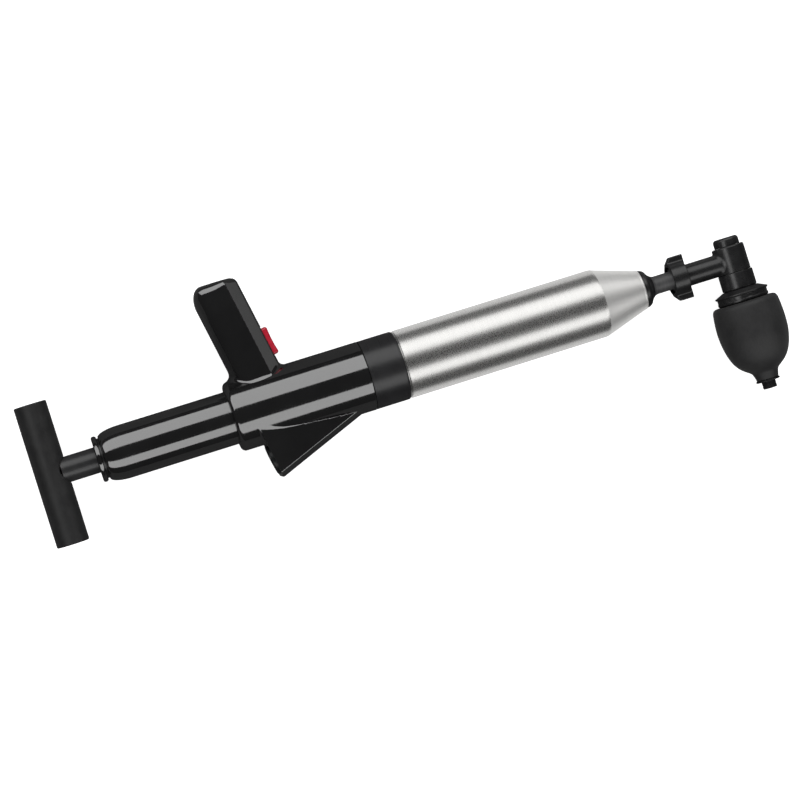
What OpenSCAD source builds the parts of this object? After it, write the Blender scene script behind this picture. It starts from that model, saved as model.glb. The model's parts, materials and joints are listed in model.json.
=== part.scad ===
// Hand-pumped drain cleaner: T-handle air pump, pistol grip, pressure tank and swivelling plunger.
// It lies on its side: +X runs along the barrel to the nozzle, +Y towards the grip, +Z up.

/* [T-handle and rod] */
// Length of the T-handle's cross bar
handle_len = 120; // [100:1:130]
// Outside radius of the cross bar's sleeve
handle_r = 13.75; // [12.5:0.25:15]
// Outside radius of the pump rod
rod_r = 10.9; // [10.5:0.1:11.2]
// Free gap between the cross bar and the guide ring when the pump is closed
handle_gap = 25.2; // [22:0.2:40]

/* [Pump barrel] */
// Thickness of the guide ring with the gap behind it
ring_len = 5.7; // [5:0.1:7]
// Outside radius of the pump barrel
barrel_r = 22.5; // [22.4:0.1:22.8]
// Bore radius of the pump barrel
barrel_bore_r = 20; // [19.9:0.1:20.1]
// Length of barrel that shows behind the housing
barrel_len = 110.1; // [95:0.1:125]

/* [Housing] */
// Outside radius of the housing's trunk
housing_r = 29.7; // [29.5:0.1:30.1]
// Length of the housing's trunk
housing_len = 118.3; // [116:0.1:124]
// Wall thickness of the housing halves
wall = 2.5; // [2:0.1:2.6]
// Lean of the grip towards the handle, in degrees
grip_lean = 10; // [8:0.5:12]
// Front-to-back depth of the grip
grip_depth = 41.2; // [39:0.2:43]
// Half of the grip's thickness
grip_half = 18.5; // [17.5:0.5:19]
// Height of the grip's end above the barrel axis; the end is cut parallel with the barrel, mm
grip_end = 111.8; // [107.8:0.5:113.8]

/* [Trigger] */
// Length of the trigger along the grip
trigger_len = 24.4; // [22:0.2:26]
// How far the trigger stands out of the grip
trigger_proud = 4.4; // [4.2:0.1:5]

/* [Tank] */
// Outside radius of the collar
collar_r = 29.6; // [29.5:0.1:30]
// Length of the collar
collar_len = 30.7; // [29:0.1:33]
// Outside radius of the pressure tank
tank_r = 29.5; // [29.2:0.1:29.5]
// Length of the tank's straight part in front of the collar
tank_len = 176.9; // [160:0.1:200]
// Length of the tank's cone
cone_len = 39.3; // [36:0.1:42]
// Outside radius of the cone's front rim
cone_tip_r = 17; // [16.8:0.1:17.4]
// Sheet thickness of the tank
tank_wall = 1.2; // [1:0.1:1.2]

/* [Nozzle and elbow] */
// Length of the nozzle's dome
dome_len = 13.1; // [12:0.1:14]
// Radius of the nozzle's shaft
shaft_r = 7.8; // [7.4:0.1:8.2]
// Length of shaft that shows in front of the dome
shaft_len = 13.4; // [12:0.1:16]
// Reach of the coupling nut's wings from the axis
nut_r = 19.2; // [19:0.1:20]
// Length of the coupling nut
nut_len = 15.1; // [14.5:0.1:16]
// Outside radius of the elbow's spigot
spigot_r = 9.5; // [9:0.1:9.6]
// Distance from the nut's front face to the elbow's axis
spigot_len = 41.5; // [38:0.1:45]
// Outside radius of the elbow's upright body
elbow_r = 14; // [13.5:0.1:14.5]

/* [Plunger head] */
// Outside radius of the swivel sleeve
sleeve_r = 15; // [14.5:0.1:15.5]
// Largest radius of the rubber bulb
bulb_r = 30.2; // [30.1:0.1:31]
// Radius of the outlet nipple
nipple_r = 6; // [5.8:0.1:6]
// Radius of the outlet's bore
outlet_bore_r = 3; // [2.5:0.1:3.2]

/* [Hidden] */
$fn = 96;

// Clearances
run = 0.08;         // radial running clearance
gap = 0.05;         // gap between faces that touch
over = 1;           // how far a cutting solid runs past the face it cuts

// Stations along the barrel's axis, measured from the back of the cross bar
x_handle = handle_r;
x_ring = 2 * handle_r + handle_gap;
x_barrel = x_ring + ring_len;
x_housing = x_barrel + barrel_len;
x_collar = x_housing + housing_len;
x_tank = x_collar + collar_len;
x_cone = x_tank + tank_len;
x_dome = x_cone + cone_len;
x_shaft = x_dome + dome_len;
x_nut = x_shaft + shaft_len;
x_spigot = x_nut + nut_len;
x_elbow = x_spigot + spigot_len;

// Bulkhead between pump and tank
x_flange = x_collar + 1.2;
flange_len = 11.5;
x_plug = x_flange + flange_len;
plug_len = 12.5;
x_valve = x_plug + plug_len - 4;
flange_r = collar_r - 1.6;
plug_r = flange_r - 1.1;
line_y = 24.95;     // offset of the pull rod, and of the gauge line on the other side
line_r = 1.25;

// Pump
x_bush = x_barrel + 3.7;
bush_len = 16;
x_piston = x_flange - 20;
bumper_len = 5.5;
piston_core_r = 15;

// Grip and trigger, in the grip's own frame: x forwards, y along the grip
x_grip = x_housing + 35.8;
grip_front = grip_depth / 2;
facet = 12.2;
grip_front_r = 6;
// Rounding of the end of the grip at the rear, seen from the side, mm
grip_rear_r = 12;
trigger_v = 36.6;
trigger_half = 5;

// Pod that carries the pressure gauge
pod_lean = 9.8;
x_pod = x_housing + 15.1;
pod_drop = 59.6;
pod_rise = 20.9;
gauge_y = -43.5;
gauge_r = 11.6;
x_gauge = x_pod - gauge_y * tan(pod_lean);

// Valve at the nozzle
x_seat = x_dome - 27.7;
x_yoke = x_seat - 19;

// Plunger head, as heights along Y from the barrel's axis
elbow_top = 13.6;
elbow_bottom = -9.6;
cap_top = 21.2;
sleeve_bottom = -24.1;
bolt_bottom = -27;
bulb_top = -35.6;
bulb_bottom = -105.3;
washer_len = 1.6;
nipple_len = 6.4;
feed_r = nipple_r - 0.4;
head_bottom = bulb_bottom - washer_len - nipple_len;

// Overall box: the origin is at the middle of its lower face
y_top = grip_end;
x_mid = (x_elbow + bulb_r) / 2;
y_mid = (y_top + head_bottom) / 2;
axis_h = bulb_r;

// --- helpers ---

// Puts a shape drawn around the barrel's axis into the part's frame
module place()
    translate([-x_mid, -y_mid, axis_h])
        children();

// Revolves an outline of [radius, station] points about the barrel's axis
module lathe_x(points)
    rotate([0, 90, 0])
        rotate_extrude()
            polygon(points);

module rod_x(x0, x1, r, y = 0)
    translate([x0, y, 0])
        rotate([0, 90, 0])
            cylinder(h = x1 - x0, r = r);

module tube_x(x0, x1, outer, inner)
    difference() {
        rod_x(x0, x1, outer);
        rod_x(x0 - over, x1 + over, inner);
    }

// Revolves an outline of [radius, height] points about the plunger head's axis
module lathe_head(points)
    translate([x_elbow, 0, 0])
        rotate([-90, 0, 0])
            rotate_extrude()
                polygon(points);

module rod_head(y0, y1, r)
    translate([x_elbow, y0, 0])
        rotate([-90, 0, 0])
            cylinder(h = y1 - y0, r = r);

// Round seal about the barrel's axis
module seal_x(x, ring, wire)
    translate([x, 0, 0])
        rotate([0, 90, 0])
            rotate_extrude()
                translate([ring, 0])
                    circle(r = wire);

// Coil spring along +X from the origin
module coil_x(len, coil_r, wire_r, turns, sides = 8, steps = 14) {
    rings = turns * steps;
    rise = len - 2 * wire_r;
    points = [for (i = [0:rings], k = [0:sides - 1])
        let (a = 360 * i / steps, b = 360 * k / sides, r = coil_r + wire_r * cos(b))
        [wire_r + rise * i / rings + wire_r * sin(b), r * cos(a), r * sin(a)]];
    skin = [for (i = [0:rings - 1], k = [0:sides - 1])
        let (n = (k + 1) % sides, p = i * sides, q = p + sides)
        [p + k, p + n, q + n, q + k]];
    first = [for (k = [0:sides - 1]) sides - 1 - k];
    last = [for (k = [0:sides - 1]) rings * sides + k];
    polyhedron(points = points, faces = concat(skin, [first, last]), convexity = 8);
}

// --- housing ---

module trunk(inset)
    lathe_x(inset == 0
        ? concat([[0, x_housing]],
            [for (a = [0:15:90]) [housing_r - 4.5 + 4.5 * sin(a), x_housing + 4.5 - 4.5 * cos(a)]],
            [[housing_r, x_collar - 0.3], [0, x_collar - 0.3]])
        : [[0, x_housing + inset], [housing_r - inset - 2, x_housing + inset],
            [housing_r - inset, x_housing + inset + 2], [housing_r - inset, x_collar + over],
            [0, x_collar + over]]);

// Cross-section of the grip: round at the back, with a flat facet on each front corner
function grip_section(inset) =
    let (front = grip_front - inset, half = grip_half - inset, cut = facet - inset * 0.6)
    concat([[front, half - cut], [front - cut, half]],
        [for (a = [90:15:270]) [-6.6 + (14 - inset) * cos(a), half * sin(a)]],
        [[front - cut, -half], [front, cut - half]]);

module in_grip()
    translate([x_grip, 0, 0])
        rotate([0, 0, grip_lean])
            children();

module grip_solid(inset)
    in_grip()
        intersection() {
            translate([0, grip_end + 4 - inset, 0])
                rotate([90, 0, 0])
                    linear_extrude(height = grip_end + 4 - inset - 18)
                        polygon(grip_section(inset));
            translate([0, 0, -grip_half - over])
                linear_extrude(height = 2 * (grip_half + over))
                    grip_side(inset);
        }

// How far along the grip a rounding centre sits so that it touches the end cut
function end_centre(across, r) = (grip_end - r - across * sin(grip_lean)) / cos(grip_lean);

// Side outline of the grip with its rounded end
module grip_side(inset) {
    rear = -grip_front + grip_rear_r;
    front = grip_front - grip_front_r;
    rear_r = grip_rear_r - inset;
    front_r = grip_front_r - inset;
    rear_at = [rear, end_centre(rear, grip_rear_r)];
    front_at = [front, end_centre(front, grip_front_r)];
    out = [sin(grip_lean), cos(grip_lean)];
    translate(rear_at)
        circle(r = rear_r);
    translate(front_at)
        circle(r = front_r);
    polygon([[-grip_front + inset, 0], [grip_front - inset, 0], front_at + [front_r, 0],
        front_at + front_r * out, rear_at + rear_r * out, rear_at - [rear_r, 0]]);
}

// Webs that flare the grip's root into the trunk
module grip_root() {
    flare = 13;
    translate([0, 0, -flare])
        linear_extrude(height = 2 * flare)
            polygon([[x_housing + 4.2, 26], [x_housing + 9, 32], [x_housing + 13, 40],
                [x_grip, 40], [x_grip + 16, 37], [x_grip + 22, 31], [x_grip + 28, 28],
                [x_grip, 20]]);
}

// Wedge under the trunk that carries the gauge in its rear face
module pod_solid(inset) {
    back = x_pod + inset / cos(pod_lean);
    foot = pod_drop - inset * 1.6;
    lift = inset / cos(pod_rise);
    function low(x) = -58.6 + (x - x_housing - 27.5) * tan(pod_rise) + lift;
    tip = back + foot * tan(pod_lean);
    intersection() {
        translate([0, 0, -housing_r])
            linear_extrude(height = 2 * housing_r)
                polygon([[back, 0], [tip, -foot], [tip + 1.8, -foot], [tip + 4, low(tip + 4)],
                    [x_housing + 104, low(x_housing + 104)], [x_housing + 104, 0]]);
        rotate([90, 0, 0])
            translate([0, 0, -over])
                linear_extrude(height = pod_drop + 2 * over)
                    polygon(concat(
                        [for (p = pod_plan(inset)) p],
                        [for (i = [4:-1:0]) let (p = pod_plan(inset)[i]) [p[0], -p[1]]]));
    }
}

// Half-width of the pod, from its rear face forwards
function pod_plan(inset) =
    [for (p = [[-4, 27], [15, 26.4], [38.5, 21.8], [60.5, 19], [105, 14]])
        [x_housing + p[0], p[1] - inset]];

// Ribs that hold the barrel
module barrel_ribs()
    for (x = [x_housing + 17, x_housing + 67.5, x_housing + 101.5])
        tube_x(x, x + 2, housing_r - wall + 0.5, barrel_r + run);

// Where the five screws go: two by the trunk's rear, two in the grip, one in the pod
screw_spots = [
    [x_housing + 7.5, 26.3],
    [x_housing + 7.5, -26.3],
    [x_grip - 75 * sin(grip_lean), 75 * cos(grip_lean)],
    [x_grip - 98 * sin(grip_lean), 98 * cos(grip_lean)],
    [x_housing + 69.5, -34]];
screw_head = -6.5;
screw_tip = 8;
boss_r = 3.9;

module screw_bosses()
    intersection() {
        for (p = screw_spots)
            translate([p[0], p[1], -housing_r])
                cylinder(h = 2 * housing_r, r = boss_r);
        housing_outside();
    }

module screw_holes()
    for (p = screw_spots)
        translate([p[0], p[1], 0]) {
            translate([0, 0, screw_head - 0.1])
                cylinder(h = screw_tip - screw_head + 0.6, r = 1.55);
            translate([0, 0, -housing_r - over])
                cylinder(h = housing_r + over + screw_head + 2.1, r = 3.1);
        }

module housing_outside() {
    trunk(0);
    grip_solid(0);
    grip_root();
    pod_solid(0);
}

module housing_inside() {
    trunk(wall);
    grip_solid(wall);
    pod_solid(wall);
}

module trigger_window()
    in_grip()
        translate([grip_front - 12, trigger_v - 0.4, -trigger_half - 0.3])
            cube([14, trigger_len + 1.6, 2 * trigger_half + 0.6]);

// Post behind the trigger's spring
spring_y = 48;
spring_len = 10.6;
x_arm = x_housing + 30.5;
x_spring = x_arm - spring_len - 1.6;

module spring_post()
    intersection() {
        rod_x(x_housing, x_spring - gap, 4.5, spring_y);
        housing_outside();
    }

module housing_shell()
    difference() {
        union() {
            difference() {
                housing_outside();
                housing_inside();
            }
            barrel_ribs();
            screw_bosses();
            spring_post();
        }
        rod_x(x_housing - over, x_collar + over, barrel_r + run);
        trigger_window();
        screw_holes();
        in_gauge()
            translate([0, 0, -over - 3])
                cylinder(h = 6, r = gauge_r + 0.3);
        for (side = [-1, 1])
            translate([x_housing + 60, side * line_y - 2, -2])
                cube([50, 4, 4]);
    }

module housing_half(side)
    place()
        intersection() {
            housing_shell();
            translate([x_housing - over, -80, side > 0 ? gap : -40 - gap])
                cube([housing_len + 2 * over, 220, 40]);
        }

module housing_upper()
    color([0.06, 0.06, 0.06])
        housing_half(1);

module housing_lower()
    color([0.06, 0.06, 0.06])
        housing_half(-1);

module housing_screws()
    color([0.5, 0.5, 0.52])
        place()
            for (p = screw_spots)
                translate([p[0], p[1], screw_head])
                    difference() {
                        union() {
                            cylinder(h = screw_tip - screw_head, r = 1.5);
                            cylinder(h = 2, r = 2.9);
                        }
                        translate([0, 0, -over])
                            cylinder(h = over + 1.2, r = 1.3, $fn = 6);
                    }

// --- pump barrel and rod guide ---

module pump_barrel()
    color([0.05, 0.05, 0.05])
        place()
            lathe_x(concat(
                [[17.1, x_barrel]],
                [for (a = [0:15:90])
                    [barrel_r - 4 + 4 * sin(a), x_barrel + 11 - 11 * cos(a)]],
                [[barrel_r, x_flange - gap], [barrel_bore_r, x_flange - gap],
                    [barrel_bore_r, x_bush], [17.1, x_bush]]));

module rod_bush()
    color([0.12, 0.12, 0.13])
        place()
            difference() {
                lathe_x([[rod_r + run, x_ring + 0.8], [17, x_ring + 0.8], [17, x_bush + gap],
                    [barrel_bore_r - gap, x_bush + gap], [barrel_bore_r - gap, x_bush + bush_len],
                    [rod_r + run, x_bush + bush_len]]);
                rod_x(x_ring, x_ring + 4.9, 13.6);
                for (side = [-1, 1])
                    rod_x(x_ring, x_bush + bush_len + over, 1, side * 15.3);
            }

module guide_ring()
    color([0.06, 0.06, 0.06])
        place()
            lathe_x([[17 + gap, x_ring], [18.7, x_ring], [19.5, x_ring + 0.8],
                [19.5, x_ring + 3.5], [18.7, x_ring + 4.3], [17 + gap, x_ring + 4.3]]);

module rod_wiper()
    color([0.08, 0.08, 0.08])
        place()
            lathe_x([[rod_r + run, x_ring + 1.4], [13.1, x_ring + 1.4], [13.55, x_ring + 1.9],
                [13.55, x_ring + 4.8], [rod_r + run, x_ring + 4.8]]);

// --- bulkhead between pump and tank ---

module bulkhead()
    color([0.2, 0.2, 0.22])
        place()
            difference() {
                union() {
                    rod_x(x_flange - 7, x_flange + over, barrel_bore_r - 0.1);
                    rod_x(x_flange, x_plug, flange_r);
                    rod_x(x_plug - over, x_plug + plug_len, plug_r);
                    tube_x(x_flange - 6, x_flange + over, housing_r - wall - 0.1, 26.4);
                }
                rod_x(x_flange - 8, x_valve + over, 5);
                rod_x(x_valve, x_plug + plug_len + over, 9);
                rod_x(x_flange - over, x_plug + plug_len + over, line_r + run, line_y);
                rod_x(x_flange - over, x_flange + 3, 2.2, line_y);
                rod_x(x_flange - over, x_flange + 6, line_r + gap, -line_y);
                rod_x(x_flange, x_plug + plug_len + over, 0.8, -line_y);
                tube_x(x_flange - 4.6, x_flange - 2.4, barrel_bore_r + over, 18.4);
            }

module bulkhead_gasket()
    color([0.1, 0.1, 0.1])
        place()
            tube_x(x_plug + gap, x_plug + 1.45, flange_r - gap, plug_r + gap);

module spigot_seal()
    color([0.1, 0.1, 0.1])
        place()
            seal_x(x_flange - 3.5, 19.2, 0.75);

module gland_seal()
    color([0.1, 0.1, 0.1])
        place()
            difference() {
                rod_x(x_flange + 0.2, x_flange + 2.9, 2.15, line_y);
                rod_x(x_flange - over, x_flange + 4, line_r + run, line_y);
            }

module check_valve_cage()
    color([0.75, 0.75, 0.7])
        place()
            difference() {
                tube_end(x_plug + plug_len + gap, 8.5, 12, 9.05, 2);
                for (side = [-1, 1])
                    translate([x_plug + plug_len + 1.5, side * 10.5 - 2.5, -2.5])
                        cube([4.5, 5, 5]);
                rod_x(x_plug, x_plug + plug_len + 12, 1.5);
            }

// Cup that opens backwards, with an end wall in front
module tube_end(x, len, outer, inner, end)
    difference() {
        rod_x(x, x + len, outer);
        rod_x(x - over, x + len - end, inner);
    }

module check_disc()
    color([0.1, 0.1, 0.1])
        place()
            rod_x(x_valve + gap, x_valve + 2.5, 7.5);

module check_valve_spring()
    color([0.7, 0.7, 0.72])
        place()
            translate([x_valve + 2.6, 0, 0])
                coil_x(x_plug + plug_len + 6.4 - x_valve - 2.6, 4.5, 0.4, 4);

module collar()
    color([0.1, 0.1, 0.1])
        place()
            lathe_x([[flange_r + 0.1, x_collar + 0.05], [collar_r - 0.4, x_collar + 0.05],
                [collar_r, x_collar + 0.45], [collar_r, x_tank - 2.2], [collar_r - 0.3, x_tank - 1],
                [collar_r - 1, x_tank - 0.3], [flange_r + 0.1, x_tank - 0.3]]);

// --- tank and nozzle ---

module tank_shell()
    color([0.75, 0.75, 0.73])
        place()
            lathe_x([[flange_r, x_plug + 1.5], [flange_r, x_tank], [tank_r, x_tank + 1.4],
                [tank_r, x_cone - 2], [tank_r - 0.25, x_cone], [cone_tip_r + 0.4, x_dome - 1.6],
                [cone_tip_r - 0.1, x_dome - 0.3], [cone_tip_r - 0.6, x_dome],
                [cone_tip_r - tank_wall, x_dome], [cone_tip_r - tank_wall, x_dome - 1],
                [tank_r - tank_wall, x_cone - 1], [tank_r - tank_wall, x_tank + 2.6],
                [plug_r + 0.1, x_tank + 1], [plug_r + 0.1, x_plug + 1.5]]);

// Black dome that flares from the tank's rim down to the shaft
dome_curve = concat(
    [for (a = [0:15:60]) [16.4 - 4.2 * (1 - cos(a)) / 0.5, x_dome + 5.8 * sin(a) / sin(60)]],
    [for (a = [0:15:90]) [12.2 - (12.2 - shaft_r) * sin(a), x_shaft - 7.3 * cos(a)]]);

module nozzle_body()
    color([0.07, 0.07, 0.07])
        place()
            difference() {
                lathe_x(concat(
                    [[0, x_seat - 1], [11, x_seat - 1], [11, x_dome - 18], [18.4, x_dome - 18],
                        [18.4, x_dome - 13], [15.6, x_dome - 13], [15.6, x_dome + 0.05],
                        [16.4, x_dome + 0.05]],
                    [for (i = [1:len(dome_curve) - 1]) dome_curve[i]],
                    [[shaft_r, x_nut + 1.2], [11.9, x_nut + 2.4], [11.9, x_nut + 9],
                        [0, x_nut + 9]]));
                rod_x(x_seat - 2, x_nut + 10, 4);
                rod_x(x_seat - 2, x_seat + 3, 8.1);
            }

module nozzle_seal()
    color([0.1, 0.1, 0.1])
        place()
            seal_x(x_dome - 11.6, 16.95, 1.3);

module valve_seat()
    color([0.8, 0.65, 0.3])
        place()
            lathe_x([[4.5, x_seat - 1.5], [5.3, x_seat - 2], [8.05, x_seat - 2], [8.05, x_seat + 2.9],
                [4.5, x_seat + 2.9]]);

module poppet()
    color([0.8, 0.65, 0.3])
        place()
            union() {
                rod_x(x_seat - 5.6, x_seat - 3.6, 7.5);
                rod_x(x_yoke - 4, x_seat - 5, 2);
            }

module poppet_seal()
    color([0.1, 0.1, 0.1])
        place()
            rod_x(x_seat - 3.55, x_seat - 2.05, 7);

module valve_yoke()
    color([0.6, 0.6, 0.62])
        place()
            difference() {
                translate([x_yoke, -4, -4])
                    cube([2.5, line_y + 4 + 2.4, 8]);
                rod_x(x_yoke - over, x_yoke + 4, 2.05);
                rod_x(x_yoke - over, x_yoke + 4, line_r + gap, line_y);
            }

// Lock nuts: a pair on the pull rod and a pair on the poppet's stem
module pull_rod_nuts()
    color([0.6, 0.6, 0.62])
        place()
            for (x = [x_yoke - 1.9, x_yoke + 2.55])
                for (spec = [[line_y, 2.6, line_r], [0, 3.8, 2]])
                    difference() {
                        translate([x, spec[0], 0])
                            rotate([0, 90, 0])
                                cylinder(h = 1.85, r = spec[1], $fn = 6);
                        rod_x(x - over, x + 3, spec[2] + gap, spec[0]);
                    }

// --- trigger ---

module trigger_button()
    color([0.62, 0.02, 0.07])
        place()
            in_grip()
                translate([0, 0, -trigger_half])
                    linear_extrude(height = 2 * trigger_half)
                        trigger_outline();

module trigger_outline() {
    tip = grip_front + trigger_proud;
    corner = 1.6;
    for (v = [trigger_v + corner, trigger_v + trigger_len - corner])
        translate([tip - corner, v])
            circle(r = corner);
    translate([11, trigger_v])
        square([tip - corner - 11, trigger_len]);
    translate([12, trigger_v + corner])
        square([tip - 12, trigger_len - 2 * corner]);
}

module trigger_arm()
    color([0.3, 0.3, 0.32])
        place()
            difference() {
                union() {
                    translate([0, 0, -2.2])
                        linear_extrude(height = 4.4)
                            polygon([[x_arm, 23.4], [x_arm + 12.5, 23.4], [x_arm + 12.5, 33],
                                [x_grip + 3.9, 39.2], [x_grip + 0.2, 59.5], [x_arm - 1.5, 59.5],
                                [x_arm - 1.5, 40]]);
                    rod_x(x_arm + 2, x_arm + 12.5, 2.2, line_y + 0.4);
                }
                rod_x(x_arm + 3, x_arm + 14, line_r + gap, line_y);
                rod_x(x_housing, x_collar, barrel_r + 0.3);
            }

module pull_rod()
    color([0.7, 0.7, 0.72])
        place()
            rod_x(x_arm + 3.1, x_yoke + 5.5, line_r, line_y);

module trigger_spring()
    color([0.7, 0.7, 0.72])
        place()
            translate([x_spring, spring_y, 0])
                coil_x(spring_len - gap, 3.2, 0.4, 6);

// --- pressure gauge ---

// Gauge's own frame: z points out of the pod's rear face
module in_gauge()
    translate([x_gauge, gauge_y, 0])
        rotate([0, 0, pod_lean])
            rotate([0, -90, 0])
                children();

gauge_depth = 9;

module gauge_case()
    color([0.1, 0.1, 0.1])
        place()
            in_gauge() {
                difference() {
                    translate([0, 0, -gauge_depth])
                        cylinder(h = gauge_depth, r = gauge_r);
                    translate([0, 0, -gauge_depth + 1.4])
                        cylinder(h = gauge_depth, r = gauge_r - 0.7);
                }
                translate([0, 0, -gauge_depth - 2.4])
                    cylinder(h = 2.6, r = 2.4);
            }

module gauge_dial()
    color([0.95, 0.95, 0.93])
        place()
            in_gauge()
                translate([0, 0, -3.6])
                    difference() {
                        cylinder(h = 0.6, r = gauge_r - 0.8);
                        translate([0, 0, -over])
                            cylinder(h = 3, r = 0.7);
                    }

module gauge_lens()
    color([0.9, 0.95, 1, 0.35])
        place()
            in_gauge()
                translate([0, 0, -0.95])
                    cylinder(h = 0.9, r = gauge_r - 0.8);

module gauge_bezel()
    color([0.08, 0.08, 0.08])
        place()
            in_gauge()
                rotate_extrude()
                    polygon([[gauge_r - 1.2, gap], [gauge_r + 1.3, gap], [gauge_r + 1.3, 1],
                        [gauge_r + 0.8, 1.7], [gauge_r - 0.5, 1.7], [gauge_r - 1.2, 0.8]]);

module gauge_needle()
    color([0.7, 0.05, 0.05])
        place()
            in_gauge() {
                translate([0, 0, -2.5])
                    cylinder(h = 0.9, r = 1.2);
                translate([0, 0, -5])
                    cylinder(h = 3, r = 0.6);
                rotate([0, 0, 45])
                    translate([0, 0, -2.3])
                        linear_extrude(height = 0.4)
                            polygon([[-3, 0.8], [-3, -0.8], [0, -0.6], [8.6, -0.15], [8.6, 0.15],
                                [0, 0.6]]);
            }

// Curved tube that unbends under pressure, and its socket
module bourdon_tube()
    color([0.8, 0.65, 0.3])
        place()
            in_gauge()
                difference() {
                    translate([0, 0, -6.6])
                        rotate_extrude()
                            translate([7, 0])
                                square([1.6, 2.4]);
                    translate([2, -20, -8])
                        cube([20, 20, 6]);
                }

module gauge_line()
    color([0.8, 0.5, 0.3])
        place()
            bent_pipe(line_route, line_r);

// Middle line of the pipe from the gauge's stem to the bulkhead, in the part's middle plane
line_start = [x_gauge + (gauge_depth + 2.45) * cos(pod_lean),
    gauge_y + (gauge_depth + 2.45) * sin(pod_lean)];
line_route = concat([line_start],
    [for (p = [[5, -40.6], [9, -39.2], [14, -36.4], [24, -29.8], [29, -26.9], [34, -25.4]])
        [line_start[0] + p[0], p[1]]],
    [[line_start[0] + 40, -line_y], [x_flange + 5.8, -line_y]]);

// Round pipe swept along points of the part's middle plane
module bent_pipe(route, r, sides = 12) {
    last = len(route) - 1;
    points = [for (i = [0:last], k = [0:sides - 1])
        let (ahead = route[min(i + 1, last)] - route[max(i - 1, 0)],
            side = [-ahead[1], ahead[0]] / norm(ahead), a = 360 * k / sides)
        [route[i][0] + r * cos(a) * side[0], route[i][1] + r * cos(a) * side[1], r * sin(a)]];
    skin = [for (i = [0:last - 1], k = [0:sides - 1])
        let (n = (k + 1) % sides, p = i * sides, q = p + sides)
        [p + k, q + k, q + n, p + n]];
    first = [for (k = [0:sides - 1]) k];
    end = [for (k = [0:sides - 1]) last * sides + sides - 1 - k];
    polyhedron(points = points, faces = concat(skin, [first, end]), convexity = 4);
}

// --- piston, rod and handle ---

x_groove = x_piston + 3;
groove_len = 6;

module piston_seal()
    color([0.1, 0.1, 0.1])
        place()
            lathe_x([[piston_core_r + run, x_groove + 0.15], [barrel_bore_r - 0.7, x_groove + 0.15],
                [barrel_bore_r - run, x_groove + 1.4],
                [barrel_bore_r - run, x_groove + groove_len - 0.15],
                [barrel_bore_r - 1.4, x_groove + groove_len - 0.15],
                [barrel_bore_r - 2.2, x_groove + groove_len - 2.5],
                [piston_core_r + 1.4, x_groove + groove_len - 2.5],
                [piston_core_r + 1, x_groove + groove_len - 0.15],
                [piston_core_r + run, x_groove + groove_len - 0.15]]);

module piston()
    color([0.85, 0.85, 0.8])
        place()
            difference() {
                union() {
                    rod_x(x_piston - 12, x_piston + over, rod_r - 1.55);
                    rod_x(x_piston, x_groove, barrel_bore_r - 0.5);
                    rod_x(x_groove - over, x_groove + groove_len, piston_core_r);
                }
                rod_x(x_piston - 10, x_piston + 12, 2.05);
            }

module piston_washer()
    color([0.7, 0.7, 0.72])
        place()
            difference() {
                rod_x(x_groove + groove_len + gap, x_groove + groove_len + 3, barrel_bore_r - 0.5);
                rod_x(x_piston, x_piston + 20, 2.1);
                rod_x(x_groove + groove_len + 1.2, x_piston + 20, 5.1);
            }

module piston_screw()
    color([0.6, 0.6, 0.62])
        place()
            difference() {
                union() {
                    rod_x(x_piston - 8, x_groove + groove_len + 2, 2);
                    rod_x(x_groove + groove_len + 1.25, x_groove + groove_len + 2.9, 5);
                }
                translate([x_groove + groove_len + 2, 0, 0])
                    rotate([0, 90, 0])
                        cylinder(h = 2, r = 1.7, $fn = 6);
            }

module pump_rod()
    color([0.2, 0.2, 0.2])
        place()
            difference() {
                rod_x(x_handle, x_piston - gap, rod_r);
                rod_x(x_handle - over, x_piston + over, rod_r - 1.5);
                translate([x_handle, 20, 0])
                    rotate([90, 0, 0])
                        cylinder(h = 40, r = 10.05);
            }

module rod_bumper()
    color([0.1, 0.1, 0.1])
        place()
            lathe_x([[rod_r + gap, x_piston - bumper_len - gap], [16, x_piston - bumper_len - gap],
                [17.5, x_piston - bumper_len + 1.5], [17.5, x_piston - 2], [16.5, x_piston - gap],
                [rod_r + gap, x_piston - gap]]);

module rod_end_plug()
    color([0.6, 0.6, 0.62])
        place()
            difference() {
                rod_x(x_handle + 11, x_handle + 30, rod_r - 1.55);
                rod_x(x_handle, x_handle + 32, 3.05);
            }

tube_len = handle_len - 4;

module cross_tube()
    color([0.6, 0.6, 0.62])
        place()
            difference() {
                translate([x_handle, tube_len / 2, 0])
                    rotate([90, 0, 0])
                        difference() {
                            cylinder(h = tube_len, r = 10);
                            translate([0, 0, -over])
                                cylinder(h = tube_len + 2 * over, r = 8.4);
                        }
                rod_x(x_handle, x_handle + 20, 3.1);
            }

module handle_sleeve()
    color([0.1, 0.1, 0.1])
        place()
            difference() {
                translate([x_handle, -handle_len / 2, 0])
                    rotate([-90, 0, 0])
                        rotate_extrude()
                            polygon([[10.05, 0], [handle_r - 0.7, 0], [handle_r, 0.7],
                                [handle_r, handle_len - 0.7], [handle_r - 0.7, handle_len],
                                [10.05, handle_len]]);
                rod_x(x_handle, x_handle + 20, rod_r + gap);
            }

module handle_end_plugs()
    color([0.1, 0.1, 0.1])
        place()
            for (side = [-1, 1])
                translate([x_handle, 0, 0])
                    rotate([side * -90, 0, 0])
                        translate([0, 0, tube_len / 2 - 8]) {
                            cylinder(h = 8 + over, r = 8.35);
                            translate([0, 0, 8 + gap])
                                cylinder(h = 2 - gap, r = 9.98);
                        }

module handle_screw()
    color([0.6, 0.6, 0.62])
        place()
            difference() {
                union() {
                    rod_x(x_handle + 4, x_handle + 26, 3);
                    rod_x(x_handle + 2, x_handle + 6.4, 5);
                }
                translate([x_handle, 0, 0])
                    rotate([0, 90, 0])
                        cylinder(h = 4.4, r = 2.6, $fn = 6);
            }

// --- coupling nut, elbow and plunger head ---

hub_r = 14.2;
wing_half = 4.5;

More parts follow.
